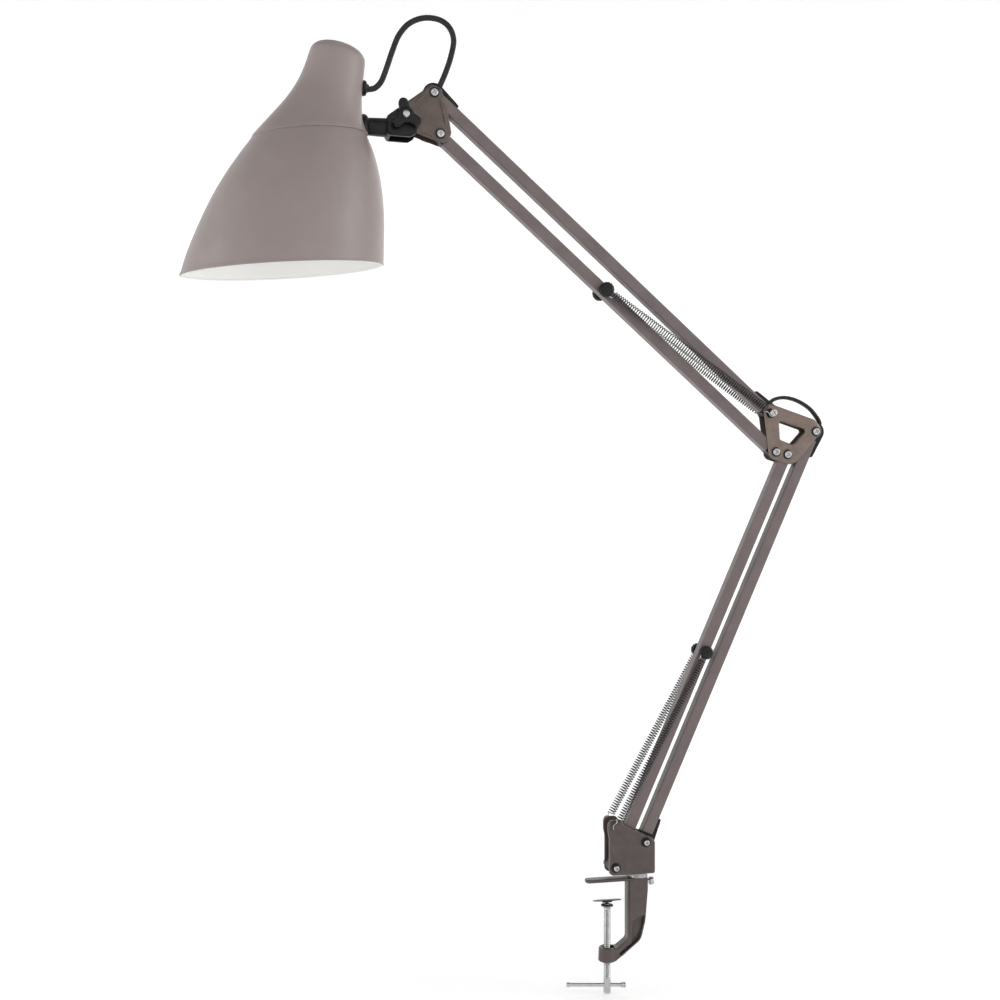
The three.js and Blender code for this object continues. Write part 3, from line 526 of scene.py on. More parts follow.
def straight_weights(points, fixed, moving, pivot, joint):
    """Blend weights that keep a spring straight between its two ends halfway through the joint's travel."""
    data = next(j for j in frame["joints"] if j["name"] == joint)
    angle = math.radians(sum(data["range_deg"]) / 2) * math.copysign(1, data["axis"][1])
    fixed, moving, pivot = (np.array((p[0], p[-1]), float) for p in (fixed, moving, pivot))

    def turn(p, a):
        v = p - pivot
        return pivot + np.array((v[0] * math.cos(a) + v[1] * math.sin(a),
            -v[0] * math.sin(a) + v[1] * math.cos(a)))

    goal = turn(moving, angle) - fixed
    shares = np.linspace(0, 1, 81)
    weights = []
    for share in shares:
        p = fixed + share * (moving - fixed)
        low, high = 0.0, 1.0
        sign = None
        for _ in range(40):
            middle = (low + high) / 2
            q = turn(p, middle * angle) - fixed
            value = goal[0] * q[1] - goal[1] * q[0]
            if sign is None:
                q0 = p - fixed
                sign = goal[0] * q0[1] - goal[1] * q0[0]
            if value * sign > 0:
                low = middle
            else:
                high = middle
        weights.append(low)
    weights[0], weights[-1] = 0.0, 1.0
    d = moving - fixed
    t = np.clip(((points[:, [0, 2]] - fixed) @ d) / (d @ d), 0, 1)
    return np.interp(t, shares, weights)


def spring(name, knob, anchor, knob_eye, anchor_eye, gaps, pivot, joint, replaces, wire=0.42,
        radius=3.18, pitch=2.25):
    path, hooks = coil_path(knob, anchor, knob_eye + wire, anchor_eye + wire, radius, pitch, *gaps)
    vertices, faces = swept(path, circle(wire, 7))
    shape = Shape().add((vertices, faces))
    shape.numbers = [1 if f[0] // 7 < hooks[0] or f[0] // 7 >= hooks[1] - 1 else 0 for f in faces]
    piece = build(name, shape, [SPRING, HOOK], None, replaces, 80)
    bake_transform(piece)
    points = np.array([v.co for v in piece.data.vertices]) / MM
    weights = straight_weights(points, anchor, knob, pivot, joint)
    return piece


for word, side in (("front", -1), ("rear", 1)):
    spring("lower_spring_coil_" + word, (LOWER_KNOB[0], side * 10, LOWER_KNOB[1]), (LOWER_ANCHOR[0],
        side * 13, LOWER_ANCHOR[1]),
           4.1, 2.4, (7.2, 6.4), P2, "lower_swing", "lower_spring_" + word)
    spring("upper_spring_coil_" + word, (UPPER_KNOB[0], side * 10, UPPER_KNOB[1]), (A[0], side * 11,
        A[1]),
           4.7, 2.75, (7.8, 7.0), C, "upper_swing", "upper_spring_" + word)


# ---------------------------------------------------------------- shade
SHADE_SIDES = 128
BELL = [(0, 0, 83), (4.6, 18, 80.2), (10.2, 37, 76.2), (15.8, 56.5, 70.8), (21.2, 75, 63.9),
    (26.2, 92, 55.6), (30.6, 108.6, 45.6)]
NECK = [(30.9, 109.2, 46.4, 0), (37.7, 121, 37.9, -5), (44, 132, 31.7, -9), (49.1, 142.7, 27.6, -12),
        (53.6, 154, 25, -15), (58.6, 169.6, 23, -17)]
DOME_HEIGHT = 11
shade_frame = (
    Matrix.Translation((0, 0, STEM_Z)) @ Matrix.Rotation(math.radians(5), 4, "X")
    @ Matrix.Translation((-275.3, 0, 517.7 - STEM_Z)) @ Matrix.Rotation(math.radians(-5), 4, "Y")
)


def stacked(rings, sides=SHADE_SIDES):
    """A skin over rings of (x, z, radius, tilt), in the shade's own frame."""
    vertices, faces, rows = [], [], []
    for x, z, radius, tilt in rings:
        rows.append(list(range(len(vertices), len(vertices) + (sides if radius > 1e-6 else 1))))
        tilt = math.radians(tilt)
        for i in range(len(rows[-1])):
            angle = 2 * math.pi * i / sides
            reach = radius * math.cos(angle)
            vertices.append((x + reach * math.cos(tilt), radius * math.sin(angle),
                z + reach * math.sin(tilt)))
    for low, high in zip(rows, rows[1:]):
        for i in range(sides):
            j = (i + 1) % sides
            if len(high) == 1:
                faces.append((low[i], low[j], high[0]))
            elif len(low) == 1:
                faces.append((low[0], high[j], high[i]))
            else:
                faces.append((low[i], low[j], high[j], high[i]))
    return moved((vertices, faces), shade_frame)


def smooth_rings(stations, per_span):
    return [tuple(r) for r in smooth_path([(*s, 0)[:4] for s in stations], per_span)]


def thinner(rings, by):
    return [(x, z, radius - by, tilt) for x, z, radius, tilt in rings]


WALL = 1.25
bell_out = smooth_rings(BELL, 10)
bell_in = thinner(bell_out, WALL * 1.1)
# The rim is rolled: a small bead round the wall's lower edge.
x0, z0, r0, _ = bell_out[0]
bell = Shape()
outside = [(x, z + (1.0 if k == 0 else 0), r, t) for k, (x, z, r, t) in enumerate(bell_out)]
lip = [(x0, z0 + 0.85 * math.sin(a) + 0.1, r0 - 0.68 + 0.92 * math.cos(a), 0)
    for a in np.radians(np.linspace(35, -90, 8))]
bell.add(stacked(lip[::-1] + outside), 0)
lip_in = [(x0, z0 + 0.85 * math.sin(a) + 0.1, r0 - 0.68 + 0.92 * math.cos(a), 0)
    for a in np.radians(np.linspace(-90, -215, 8))]
inside = [(x, z + (1.0 if k == 0 else 0), r, t) for k, (x, z, r, t) in enumerate(bell_in)]
bell.add(stacked(lip_in + inside), 1)
bell.add(stacked([bell_out[-1], bell_in[-1]]), 0)
build("shade_bell_shell", bell, [SHADE_PAINT, SHADE_WHITE], "shade", "shade_bell", 60)

neck_out = smooth_rings(NECK, 10)
x, z, r, tilt = neck_out[0]
# The neck's lower edge laps over the bell: a rounded step.
step = [(x - 0.1, z - 2.2 + 0.3 * math.sin(a), r + 0.95 + 0.22 * math.cos(a), 0)
    for a in np.radians(np.linspace(-90, 40, 6))]
hem = [(x - 0.1, z - 2.55, r - 0.6, 0)]
top = neck_out[-1]


def dome(wall):
    rings = []
    t = math.radians(top[3])
    for k in range(1, 13):
        angle = math.pi / 2 * k / 12
        radius = (top[2] - wall) * max(0.0, math.cos(angle)) ** 0.72
        up = (DOME_HEIGHT - wall) * math.sin(angle)
        rings.append((top[0] - up * math.sin(t), top[1] + up * math.cos(t), radius if k < 12 else 0,
            top[3]))
    return rings


neck = Shape()
neck.add(stacked(hem + step + neck_out + dome(0)), 0)
neck.add(stacked(hem + [(x, z, r - WALL, t) for x, z, r, t in neck_out] + dome(WALL)), 1)
build("shade_neck_shell", neck, [SHADE_PAINT, SHADE_WHITE], "shade", "shade_neck", 60)

# Collar where the stem meets the neck, and the gland where the cable leaves it.
collar = Shape().add(turned(softened([(0, -226), (9.9, -226), (10.3, -214), (9.7, -208.4),
    (8.1, -206.5), (3.3, -206.5), (0, -206.5)], 0.7), on_x(0, STEM_Z), 48))
build("shade_collar_boss", collar, BLACK_PLASTIC, "shade", "shade_collar")
gland_place = (Matrix.Translation((0, 0, STEM_Z)) @ Matrix.Rotation(math.radians(5), 4,
    "X") @ Matrix.Translation((0, 0, -STEM_Z)) @ on_x(0, 668.8))
gland = Shape().add(turned(softened([(0, -215), (6.4, -215), (6.4, -209.4), (5.6, -208), (4.0, -207.6),
    (3.4, -206.6), (3.0, -205.8), (0, -205.8)], 0.5), gland_place, 40))
build("cable_gland_relief", gland, BLACK_PLASTIC, "shade", "cable_gland")

# Lampholder: a ribbed skirt round a threaded brass shell with a contact at its bottom.
holder = Shape()
tilt = math.radians(top[3])
base_x, base_z = top[0] + 2 * math.sin(tilt), top[1] - 2 * math.cos(tilt)
holder_place = shade_frame @ Matrix.Translation((base_x, 0, base_z)) @ Matrix.Rotation(-tilt, 4, "Y")


skirt = softened([(0, 0), (12, 0), (14.5, -3), (14.5, -14), (18.6, -17), (18.6, -36), (17.4, -38),
    (17.4, -43), (16.2, -43.6),
                  (15.0, -43), (15.0, -19), (0, -19)], 0.7)
holder.add(turned(skirt, holder_place, 64), 0)
for k in range(24):
    angle = 2 * math.pi * k / 24
    cx, cy = 18.5 * math.cos(angle), 18.5 * math.sin(angle)
    holder.add(turned(softened([(0, -35.4), (0.75, -35.4), (0.75, -18.6), (0, -18.6)], 0.5),
        holder_place @ Matrix.Translation((cx, cy, 0)), 10), 0)
turns, per = 5.5, 48
vertices, faces = [], []
rows = int(turns * 14)
for k in range(rows + 1):
    h = -42 + 20 * k / rows
    for i in range(per):
        angle = 2 * math.pi * i / per
        wave = 0.55 * math.cos(2 * math.pi * (turns * k / rows) - angle)
        vertices.append(((13.8 + wave) * math.cos(angle), (13.8 + wave) * math.sin(angle), h))
for k in range(rows):
    for i in range(per):
        a, b = k * per + i, k * per + (i + 1) % per
        faces.append((a, b, b + per, a + per))
holder.add(moved((vertices, faces), holder_place), 1)
holder.add(turned(softened([(0, -20.6), (4.2, -20.6), (5.2, -19.8), (5.2, -18.6), (0, -18.6)], 0.4),
    holder_place, 32), 1)
holder.add(turned([(0, -19.4), (13.9, -19.4), (13.9, -18.8), (0, -18.8)], holder_place, 48), 0)
build("lampholder_body", holder, [HOLDER, BRASS], "shade", "lampholder", 50)


# ---------------------------------------------------------------- screws and studs
def cross_recess(size, depth, edge=0.18):
    """How far the driver's cross sinks into a head at a radius and angle."""

    def sink(radius, angle):
        u, v = abs(radius * math.cos(angle)), abs(radius * math.sin(angle))
        arm = min(u, v) - size * 0.17
        reach = max(u, v) - size
        outside = max(arm, reach)
        return -depth * (1 - min(1, max(0, outside / edge + 0.5))) * (1 - 0.45 * max(u, v) / size)

    return sink


def screw_head(radius, height, dome_height, recess):
    """A pan head along -Z from 0, with a cross recess in its domed face. Its tip points to +Z."""
    profile = [(0, 0)] + [(radius * k / 6, 0) for k in (3, 6)] + [(radius, -0.25)]
    crown = []
    for k in range(0, 9):
        angle = math.pi / 2 * k / 8
        crown.append((radius - height * 0.55 * (1 - math.cos(angle)),
            -height * 0.35 - height * 0.55 * math.sin(angle)))
    profile += crown
    edge, low = crown[-1]
    fine = [edge * (1 - k / 16) for k in range(1, 16)]
    for r in fine:
        profile.append((r, low - dome_height * (1 - (r / edge) ** 2)))
    profile.append((0, low - dome_height))
    sink = cross_recess(recess, height * 0.62)

    vertices, faces = turned(profile, None, 72)
    out = []
    for x, y, z in vertices:
        r, a = math.hypot(x, y), math.atan2(y, x)
        if z < low + 0.02 and r < edge * 0.98:
            z -= sink(r, a)
        out.append((x, y, z))
    return out, faces


def screw(name, at, seat, tip, radius, body, replaces, material=None, shank=2.0, turn=0.0, height=1.9):
    place = on_y(at) @ Matrix.Rotation(turn, 4, "Z")
    shape = Shape().add(moved(screw_head(radius, height, 0.18, radius * 0.6),
        place @ Matrix.Translation((0, 0, seat))))
    shape.add(turned(softened([(0, seat - 0.2), (shank, seat - 0.2), (shank, tip - 0.5),
        (shank - 0.5, tip), (0, tip)], 0.2), place, 24))
    return build(name, shape, material or CHROME, body, replaces, 40)


ring_seat = -(9.5 + 0.3 + 1.3 + 0.3)
for word, pivot, turn in (("outer", P1, 0.3), ("inner", P2, 0.9)):
    screw("base_" + word + "_screw", pivot, ring_seat, 10.1, 2.5, "base", "base_screw_" + word,
        turn=turn)
    ring = turned(softened([(2.4, -9.8), (3.9, -9.8), (3.9, -10.9), (3.2, -11.3), (2.4, -11.3),
        (2.4, -9.8)], 0.3), on_y(pivot), 40)
    build("base_" + word + "_ring", Shape().add(ring), BLACK_PLASTIC, "base", "base_ring_" + word,
        50)
for word, pivot, turn in (("b", B, 0.4), ("c", C, 1.0), ("d", D, 0.7)):
    screw("elbow_" + word + "_screw", pivot, -7.3, 7.9, 3.3, "elbow", "elbow_screw_" + word, turn=turn)
for word, pivot, turn in (("outer", H1, 0.5), ("inner", H2, 0.1)):
    screw("head_" + word + "_screw", pivot, -7.3, 7.9, 3.3, "head", "head_screw_" + word, turn=turn)
anchor = Shape().add(moved(screw_head(3.3, 1.9, 0.18, 2.0), on_y(A) @ Matrix.Rotation(0.6, 4,
    "Z") @ Matrix.Translation((0, 0, -12.9))))
anchor.add(turned(softened([(0, -13.0), (2.7, -13.0), (2.7, -7.3), (2.0, -7.2), (2.0, 12.3), (0, 12.3)],
    0.3), on_y(A), 32))
build("elbow_a_screw", anchor, CHROME, "elbow", "elbow_screw_a", 40)
for side, word in ((-1, "front"), (1, "rear")):
    profile = [(0, 7.8), (2, 7.8), (2, 9.8), (3.0, 9.8), (3.0, 10.7), (2.4, 11.1), (2.4, 14.7),
        (3.2, 15.0),
               (3.3, 15.6), (2.7, 16.3), (1.4, 16.7), (0, 16.8)]
    stud = turned(softened([(r, side * y) for r, y in profile], 0.45, 4), on_y(LOWER_ANCHOR), 40)
    build("spring_stud_turned_" + word, Shape().add(stud), CAST_PAINT, "base", "spring_stud_" + word,
        50)


# ---------------------------------------------------------------- spring knobs
def knob(name, at, radius, side, replaces):
    groove = radius - 1.6
    profile = [(0, 5.3), (3.4, 5.3), (3.4, 7.4), (radius - 0.3, 7.5), (radius, 8.0), (radius, 8.9),
        (groove, 9.2), (groove, 10.8),
               (radius, 11.1), (radius, 12.2), (radius * 0.75, 13.1), (0, 13.5)]
    shape = Shape().add(turned(softened([(r, side * y) for r, y in profile], 0.4, 4), on_y(at), 48))
    for k in range(14):
        angle = 2 * math.pi * k / 14
        place = on_y(at) @ Matrix.Translation((radius * 0.985 * math.cos(angle),
            radius * 0.985 * math.sin(angle), 0))
        shape.add(turned(softened([(0, side * 11.3), (0.42, side * 11.3), (0.42, side * 12.3),
            (0, side * 12.3)], 0.3), place, 8))
    build(name, shape, BLACK_PLASTIC, name.split("_")[0] + "_inner", replaces, 45)


for word, side in (("front", -1), ("rear", 1)):
    knob("lower_knob_spool_" + word, LOWER_KNOB, 5.7, side, "lower_knob_" + word)
    knob("upper_knob_spool_" + word, UPPER_KNOB, 6.3, side, "upper_knob_" + word)


# ---------------------------------------------------------------- pressed plates of the elbow and the head
PLATE_RIM = [(0.5, 5.4), (0.1, 5.45), (0.0, 5.7), (0.2, 6.15), (0.6, 6.5), (1.1, 6.78), (1.7, 6.94),
    (2.3, 7.0)]
HOLE_RIM = [(0.0, 5.4), (0.0, 5.6), (0.1, 6.2), (0.35, 6.6), (0.7, 6.85), (1.2, 6.97), (1.8, 7.0)]


def bead(points, width, height, base):
    """A low raised ridge along a line of (x, z) points on a plate's face, for the front, at y = -base."""
    path = smooth_path([(p[0], -base + 0.05, p[1]) for p in points], 6)
    rows = len(path)

    def section(k):
        fade = min(1.0, 4 * min(k, rows - 1 - k) / rows + 0.15)
        return [(width / 2 * fade * math.cos(a), height * fade * math.sin(a)) for a in np.linspace(0,
            2 * math.pi, 14, endpoint=False)]

    return swept(path, section, AXIS_Y)


def plate(name, shape_points, window, pivots, side, body, replaces, paint, ridges=()):
    holes = [window] if window else []
    shape = Shape().add(pressed(shape_points, mirrored(PLATE_RIM, side), holes, mirrored(HOLE_RIM,
        side)))
    for pivot in pivots:
        # A thin black ring round each screw, painted shade standing in for a recess round the head, and a shallow
        # embossed ring round each screw.
        shade_ring = [(2.2, 6.9), (2.2, 7.1), (3.0, 7.22), (4.0, 7.22), (4.25, 7.05), (4.25, 6.9)]
        shape.add(turned([(r, side * y) for r, y in shade_ring], on_y(pivot), 40), 1)
        ring = [(4.3, 6.9), (4.4, 7.08), (4.65, 7.2), (4.95, 7.12), (5.15, 6.9)]
        shape.add(turned([(r, side * y) for r, y in ring], on_y(pivot), 40))
        if side > 0:
            boss = softened([(0, 6.9), (3.6, 6.9), (3.4, 8.1), (3.0, 8.3), (0, 8.3)], 0.35)
            shape.add(turned(boss, on_y(pivot), 40))
    for points, width, height in ridges:
        vertices, faces = bead(points, width, height, 7.0)
        shape.add(([(x, y * (1 if side < 0 else -1), z) for x, y, z in vertices], faces))
    return build(name, shape, [paint, BLACK_PLASTIC], body, replaces, 40)


elbow_shape = outline([
    (147.4, 365.6, 6), (165.7, 360, 7), (172.6, 361.8, 6), (198.6, 390.8, 6.5), (191, 400, 5),
    (147.2, 414.2, 5.5), (141.6, 409.5, 4), (144.6, 388, 30),
], 10)
elbow_window = outline([(157.4, 382.2, 2), (170, 377.4, 2.5), (182.6, 390.8, 2), (156.4, 399.2, 2)], 8)
head_shape = outline([
    (-148, 627, 3), (-141.2, 625.6, 4), (-137, 635, 5), (-139.8, 651, 14), (-145.6, 672.6, 5),
    (-154.6, 675, 5.5), (-160.8, 669.4, 5), (-185, 651, 6.5), (-183.4, 638.6, 6),
], 10)
# The elbow plates take the lighter copy of the plate paint (painted light), and the head plates take the darker
# copy (painted shade).
for side, word in ((-1, "front"), (1, "rear")):
    plate("elbow_plate_pressed_" + word, elbow_shape, elbow_window, (A, B, C, D), side, "elbow",
        "elbow_plate_" + word, PLATE_PAINT_LIT)
    ridges = [
        ([(-141.8, 640), (-143.4, 650), (-147.4, 664)], 2.6, 0.95),
        ([(-168.6, 658.0), (-164.4, 661.4), (-160.2, 664.8)], 2.6, 0.95),
        ([(-163.4, 633.5), (-158, 631.6), (-152.6, 629.9)], 2.4, 0.8),
    ]
    plate("head_plate_pressed_" + word, head_shape, None, (H1, H2), side, "head", "head_plate_" + word,
        HEAD_PLATE_PAINT_SHADED, ridges)
nut = Shape().add(turned(softened([(0, 8.5), (2.9, 8.5), (2.9, 12.4), (0, 12.4)], 0.2), on_y(A), 32))
nut.add(turned(softened([(0, 12.3), (3.7, 12.3), (3.7, 14.2), (3.1, 14.8), (0, 14.8)], 0.35), on_y(A),
    6))
build("elbow_a_nut", nut, ZINC, "elbow", "elbow_nut_a", 25)


# ---------------------------------------------------------------- base housing
FLOOR_LOW, FLOOR_TOP, RIGHT_WALL = 6.6, 8.0, 40.8
shell_shape = outline([
    (-0.2, FLOOR_LOW, 4), (RIGHT_WALL, FLOOR_LOW, 2), (RIGHT_WALL, 36, 6), (12.2, 50.4, 1.5),
    (10.4, 54.2, 4.5), (-1.4, 54.2, 4.5), (-1.4, 43.6, 5), (-0.2, 38.4, 5),
], 9)
SHELL_RIM = [(0.9, 5.5), (0.15, 5.6), (0.0, 5.9), (0.0, 7.4), (0.15, 8.2), (0.5, 8.85), (1.0, 9.25),
    (1.6, 9.45), (2.2, 9.5)]
for side, word in ((-1, "front"), (1, "rear")):
    shape = Shape().add(pressed(shell_shape, mirrored(SHELL_RIM, side)))
    # A pressed bead by the outer pivot, and a raised seat round each screw.
    vertices, faces = bead([(25.4, 37.5), (25.6, 33.5), (25.6, 29.8)], 1.5, 0.5, 9.5)
    shape.add(([(x, y * (1 if side < 0 else -1), z) for x, y, z in vertices], faces))
    vertices, faces = bead([(37.6, 30), (38.2, 20), (38.3, 10.5)], 1.3, 0.4, 9.4)
    shape.add(([(x, y * (1 if side < 0 else -1), z) for x, y, z in vertices], faces))
    for pivot in (P1, P2):
        ring = [(4.1, 9.4), (4.3, 9.6), (4.7, 9.72), (5.1, 9.62), (5.4, 9.4)]
        shape.add(turned([(r, side * y) for r, y in ring], on_y(pivot), 40))
    floor_low, floor_high = sorted((side * 0.15, side * 6))
    floor = outline([(9, FLOOR_LOW, 0.5), (RIGHT_WALL - 0.8, FLOOR_LOW, 0.5), (RIGHT_WALL - 0.8,
        FLOOR_TOP, 0.5), (9, FLOOR_TOP, 0.5)], 3)
    shape.add(pressed(floor, [(0, floor_low), (0, floor_high)]))
    wall = outline([(RIGHT_WALL - 2.2, FLOOR_LOW + 0.6, 0.5), (RIGHT_WALL - 0.1, FLOOR_LOW + 0.6, 0.9),
        (RIGHT_WALL - 0.1, 27, 0.9), (RIGHT_WALL - 2.2, 27, 0.9)], 4)
    shape.add(pressed(wall, [(0, floor_low), (0, floor_high)]))
    build("base_housing_" + word, shape, CAST_PAINT, "base", "base_shell_" + word, 42)


# ---------------------------------------------------------------- end fittings of the outer bars
def bar_place(at, way):
    """+Z along the bar from its end, +X across it in the arm's plane."""
    z = np.array((way[0], 0, way[1]))
    x = np.array((way[1], 0, -way[0]))
    return Matrix(((x[0], 0, z[0], at[0]), (0, 1, 0, 0), (x[2], 0, z[2], at[1]), (0, 0, 0, 1)))


CAP_RADIUS = 9.2


def end_cap(name, at, way, outward, body, replaces):
    cap = []
    for k in range(25):
        angle = math.radians(-118 + 128 * k / 24)
        cap.append((CAP_RADIUS * math.cos(angle), CAP_RADIUS * math.sin(angle)))
    tongue = [(8.9, 4.4), (8.5, 8.6), (8.1, 13), (7.8, 17.5), (7.3, 21.4), (6.7, 22.0), (5.8, 21.9),
        (5.25, 21.3), (5.25, 7.3), (-4.2, 7.1), (-5.0, 6.4), (-5.0, -3.4)]
    points = [(outward * x, z) for x, z in cap + tongue]
    rim = [(0.5, -4.1), (0.12, -4.0), (0.0, -3.7), (0.0, 3.7), (0.12, 4.0), (0.5, 4.1)]
    shape = Shape().add(moved(pressed(points, rim), bar_place(at, way)))
    eye = softened([(0, -5), (5, -5), (5, 5), (0, 5)], 0.3)
    shape.add(turned(eye, bar_place(at, way) @ Matrix.Rotation(math.radians(-90), 4, "X"), 40))
    plug = outline([(-5, 0, 0.6), (5, 0, 0.6), (5, 7.2, 0.6), (-5, 7.2, 0.6)], 3)
    shape.add(moved(pressed(plug, [(0.3, -5), (0, -4.7), (0, 4.7), (0.3, 5)]), bar_place(at, way)))
    return build(name, shape, BLACK_PLASTIC, body, replaces, 40)


def back(way):
    return (-way[0], -way[1])


end_cap("lower_outer_foot_cap", P1, LOWER_DIR, 1, "lower_outer", "lower_bar_outer_foot")
end_cap("lower_outer_tip_cap", B, back(LOWER_DIR), -1, "lower_outer", "lower_bar_outer_tip")
end_cap("upper_outer_foot_cap", A, UPPER_DIR, 1, "upper_outer", "upper_bar_outer_foot")
end_cap("upper_outer_tip_cap", H1, back(UPPER_DIR), -1, "upper_outer", "upper_bar_outer_tip")


# ---------------------------------------------------------------- yoke's wing knob and tilt bolt
def wing_outline(steps=180):
    out = []
    for k in range(steps):
        angle = 2 * math.pi * k / steps
        u = np.array((math.cos(angle), math.sin(angle)))
        reach = 6.6
        for lobe in (101, 332, 222):
            away = np.array((math.cos(math.radians(lobe)), math.sin(math.radians(lobe))))
            for r in np.linspace(0, 14.4, 100):
                p = r * u
                t = min(max(p @ away, 0), 10)
                width = 4.6 - 0.5 * (t / 10)
                if np.linalg.norm(p - t * away) <= width:
                    reach = max(reach, r)
        out.append(reach)
    out = np.array(out)
    for _ in range(3):
        out = 0.25 * np.roll(out, 1) + 0.5 * out + 0.25 * np.roll(out, -1)
    return [(K[0] + r * math.cos(2 * math.pi * k / steps),
        K[1] + r * math.sin(2 * math.pi * k / steps)) for k, r in enumerate(out)]


wing_rim = [(0.9, -12.0), (0.25, -12.2), (0.0, -12.7), (0.0, -15.6), (0.3, -16.2), (0.9, -16.55),
    (1.8, -16.7)]
wing = Shape().add(pressed(wing_outline(), wing_rim))
wing.add(turned(softened([(0, -10.7), (6.2, -10.7), (6.2, -16.6), (4.4, -17.3), (2.5, -17.1),
    (0, -17.1)], 0.6), on_y(K), 48))
build("wing_knob_moulded", wing, BLACK_PLASTIC, "wing", "wing_knob", 45)
bolt = Shape()
bolt.add(turned(softened([(0, -17.0), (3.1, -17.0), (3.2, -18.2), (2.5, -19.2), (0, -19.6)], 0.35),
    on_y(K), 36))
bolt.add(turned([(0, -17.2), (2.5, -17.2), (2.5, 10.7), (0, 10.7)], on_y(K), 28))
bolt.add(turned(softened([(0, 10.7), (5.2, 10.7), (5.2, 12.2), (3.6, 13.5), (0, 14)], 0.5), on_y(K),
    40))
build("tilt_bolt_turned", bolt, CHROME, "knuckle", "tilt_bolt", 40)


# ---------------------------------------------------------------- clamp frame
JAW_TOP, SPINE_INNER, SPINE_OUTER, THROAT_FLOOR, BOSS_LOW = 2.8, 17.2, 35.6, -56.6, -68.5
spine_shape = outline([
    (SPINE_INNER, JAW_TOP, 1.2), (SPINE_INNER, -50, 4), (8.4, THROAT_FLOOR, 3), (-5, THROAT_FLOOR, 1.2),
    (-5, BOSS_LOW, 1.2), (6.2, BOSS_LOW, 4), (29.4, -51, 12), (33.4, -34, 14), (SPINE_OUTER, -8, 10),
    (SPINE_OUTER, JAW_TOP, 1.6),
], 9)
pocket = outline([
    (21.2, -34.6, 1), (32.6, -29.4, 1), (31.6, -36, 6), (27.6, -50, 9), (9.8, -64.4, 1.2),
    (9.8, -61, 1.2),
    (20.8, -53, 3),
], 6)
casting = Shape().add(pressed(spine_shape, [(0, -2.3), (0, 2.3)]))
face_rim = [(0, 2.2), (0, 3.9), (0.12, 4.6), (0.45, 5.15), (1.0, 5.45), (1.7, 5.6)]
pocket_rim = [(0.5, 2.2), (0.2, 2.6), (0, 3.4), (0, 4.7), (0.12, 5.2), (0.4, 5.5), (0.9, 5.6)]
for side in (-1, 1):
    casting.add(pressed(spine_shape, mirrored(face_rim, side), [pocket], mirrored(pocket_rim, side)))
jaw_plan = outline([(-19.5, -4.6, 3.4), (SPINE_INNER + 4, -4.6, 0), (SPINE_INNER + 4, 4.6, 0),
    (-19.5, 4.6, 3.4)], 8)
jaw_rim = [(0.9, 0), (0.3, 0.12), (0, 0.6), (0, 1.9), (0.2, 2.45), (0.7, 2.75), (1.2, JAW_TOP)]
casting.add(moved(pressed(jaw_plan, jaw_rim), Matrix.Rotation(math.radians(90), 4, "X")))
boss = [(0, BOSS_LOW), (6.9, BOSS_LOW), (7.7, BOSS_LOW + 0.9), (7.2, THROAT_FLOOR - 0.6),
    (6.6, THROAT_FLOOR), (0, THROAT_FLOOR)]
casting.add(turned(softened(boss, 0.6, 4), None, 48))
build("clamp_frame_cast", casting, CAST_PAINT, "clamp", "clamp_frame", 40)


# ---------------------------------------------------------------- clamp screw, its pad and its bar
SCREW_TOP, SCREW_BOTTOM, TOMMY_Z = -21.9, -96.3, -89.4


def thread(radius, low, high, pitch, depth, per_turn=40, per_pitch=8):
    rows = round((high - low) / pitch * per_pitch)
    vertices, faces = [], []
    for k in range(rows + 1):
        z = low + (high - low) * k / rows
        fade = min(1.0, k / per_pitch, (rows - k) / per_pitch)
        for i in range(per_turn):
            angle = 2 * math.pi * i / per_turn
            wave = (z / pitch - i / per_turn) % 1.0
            cut = depth * fade * abs(2 * wave - 1)
            vertices.append(((radius - cut) * math.cos(angle), (radius - cut) * math.sin(angle), z))
    for k in range(rows):
        for i in range(per_turn):
            a, b = k * per_turn + i, k * per_turn + (i + 1) % per_turn
            faces.append((a, b, b + per_turn, a + per_turn))
    faces += [tuple(range(per_turn - 1, -1, -1)), tuple(range(rows * per_turn, (rows + 1) * per_turn))]
    return vertices, faces


shape = Shape().add(thread(3.12, -83, -22.4, 1.5, 0.55))
shape.add(turned(softened([(0, -83.2), (3.1, -83.2), (3.1, -95.6), (2.4, -96.3), (0, -96.3)], 0.5),
    None, 40))
shape.add(turned(softened([(0, -22.6), (2.6, -22.6), (2.6, SCREW_TOP), (0, SCREW_TOP)], 0.2), None, 32))
build("clamp_screw_threaded", shape, CHROME, "screw", "clamp_screw", 55)
tommy_place = Matrix.Rotation(math.radians(-12), 4, "Z") @ on_x(0, TOMMY_Z)
shape = Shape().add(turned(softened([(0, -35), (2.0, -35), (2.0, -32.4), (1.65, -31.8), (1.65, 13.2),
    (0, 13.2)], 0.4), tommy_place, 32))
build("tommy_bar_turned", shape, CHROME, "handle", "tommy_bar", 45)
shape = Shape().add(turned(softened([(1.7, 12.0), (2.4, 12.0), (2.4, 13.1), (2.05, 13.4), (2.05, 14.0),
    (2.4, 14.3), (2.35, 15.6), (1.8, 16.1), (0, 16.1)], 0.3), tommy_place, 32))
build("tommy_cap_turned", shape, CHROME, "handle", "tommy_cap", 45)
pad_place = Matrix.Translation((0, 0, -16.6)) @ Matrix.Rotation(math.radians(-16), 4, "X")
shape = Shape().add(turned(softened([(0, 0.35), (9.5, 0.42), (11.4, 0.7), (12.3, 0.55), (12.3, -0.2),
    (11.2, -0.4), (4.9, -0.5), (4.1, -1.7), (0, -1.7)], 0.45, 4), pad_place, 64))
build("clamp_pad_pressed", shape, PAD_STEEL, "pad", "clamp_pad", 40)
shape = Shape().add(turned(softened([(0, -21.6), (4.9, -21.6), (5.4, -21.1), (5.2, -20.3), (2.4, -20.0),
    (2.2, -19.2), (0, -18.8)], 0.3), None, 48))
build("pad_hub_turned", shape, ZINC, "hub", "pad_hub", 40)
lock_place = on_x(0, -2)
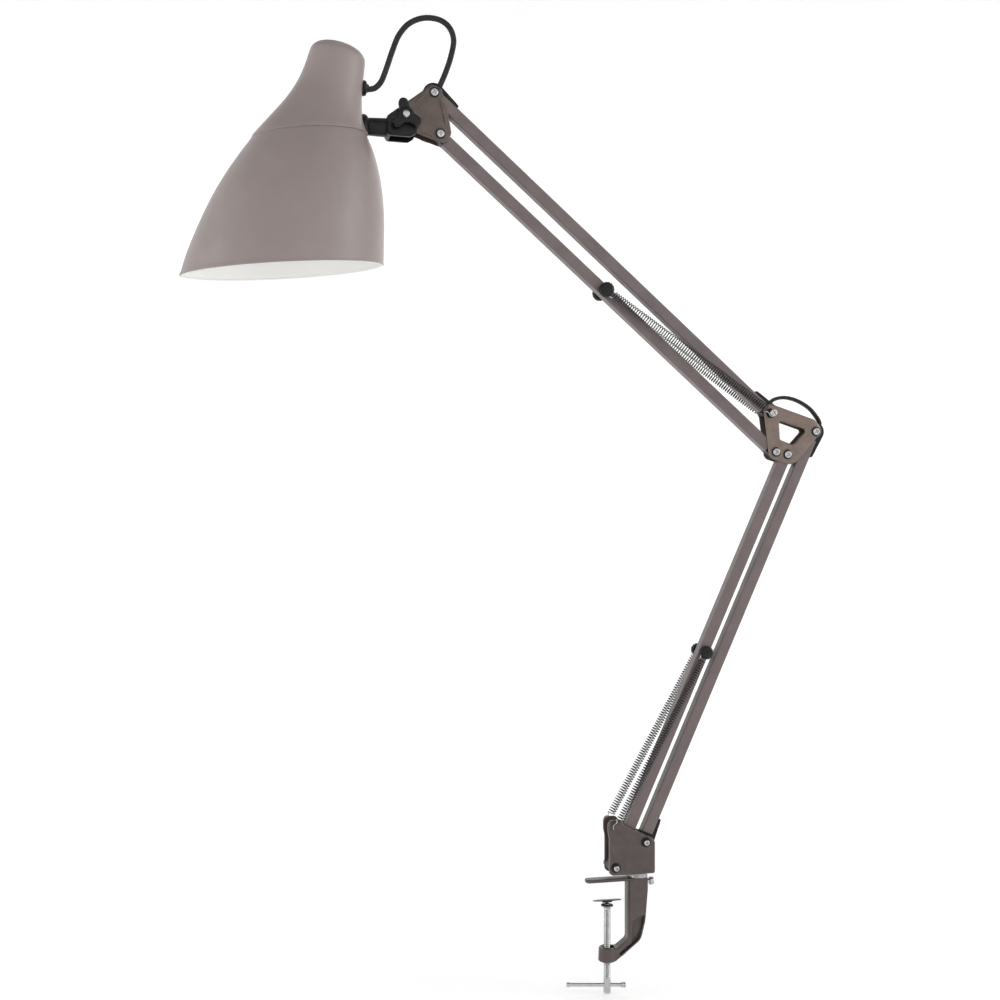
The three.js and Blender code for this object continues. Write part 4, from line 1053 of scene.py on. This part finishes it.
lock_profile = [(0, 32.2), (2, 32.2), (2, 38.0), (3.3, 38.0), (3.6, 38.4), (3.6, 41.0), (3.1, 41.9),
    (0, 42.2)]
shape = Shape().add(turned(softened(lock_profile, 0.35), lock_place, 40))
build("post_lock_screw", shape, CHROME, "post_lock", "lock_screw", 40)


# ---------------------------------------------------------------- finishes on the CAD nodes that stay
slots = {}
for part in frame["record"].get("materials", []):
    for node in part.get("nodes", []):
        slots[node] = part["slot"]
for entry in frame["record"].get("subparts", []):
    name = entry.get("node") or entry.get("name")
    if entry.get("material_slot"):
        slots[name] = entry["material_slot"]
for name, node in frame["nodes"].items():
    material = SLOT_MATERIALS[slots[name]]
    node.data.materials.clear()
    node.data.materials.append(material)
    node.data.polygons.foreach_set("use_smooth", [True] * len(node.data.polygons))
    node.data.polygons.foreach_set("material_index", [0] * len(node.data.polygons))
    node.data.set_sharp_from_angle(angle=math.radians(32))


# ---------------------------------------------------------------- floor, backdrop and light
def light(name, kind, location, target, energy, size=1.0, size_y=None, color=(1, 1, 1)):
    data = bpy.data.lights.new(name, kind)
    data.energy = energy
    data.color = color
    if kind == "AREA":
        data.shape = "RECTANGLE"
        data.size, data.size_y = size, size_y or size
    lamp = bpy.data.objects.new(name, data)
    lamp.location = location
    lamp.rotation_euler = (Vector(target) - Vector(location)).to_track_quat("-Z", "Y").to_euler()
    bpy.context.scene.collection.objects.link(lamp)
    return lamp


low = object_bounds()[0][2] / MM
bowl = [(0, low - 1), (1400, low - 1), (1900, low - 1)]
bowl += [(1900 + 700 * math.sin(a), low - 1 + 700 * (1 - math.cos(a)))
    for a in np.radians(np.linspace(8, 90, 14))]
bowl += [(2600, 1500), (2600, 2600)]
floor = build("floor_sweep", Shape().add(turned(bowl, Matrix.Translation((-94, 0, 0)), 96)), FLOOR,
    None, (), 80)

world = bpy.data.worlds.new("studio")
world.use_nodes = True
world.node_tree.nodes["Background"].inputs["Color"].default_value = (1, 1, 1, 1)
world.node_tree.nodes["Background"].inputs["Strength"].default_value = 0.3
bpy.context.scene.world = world
aim = (-0.09, 0, 0.33)
light("key", "AREA", (2.0, -0.7, 1.0), aim, 11, 0.7, 1.6)
light("strip", "AREA", (-2.0, -0.1, 0.5), aim, 7.5, 0.4, 1.9)
light("fill", "AREA", (0.3, -2.4, 1.0), aim, 0.9, 1.4, 1.4)
light("top", "AREA", (0.0, 0.1, 2.4), aim, 3.0, 2.2, 2.2)
light("back", "AREA", (0.6, 1.9, 1.4), aim, 4, 1.4, 1.4)
bpy.context.scene.view_settings.view_transform = "Standard"
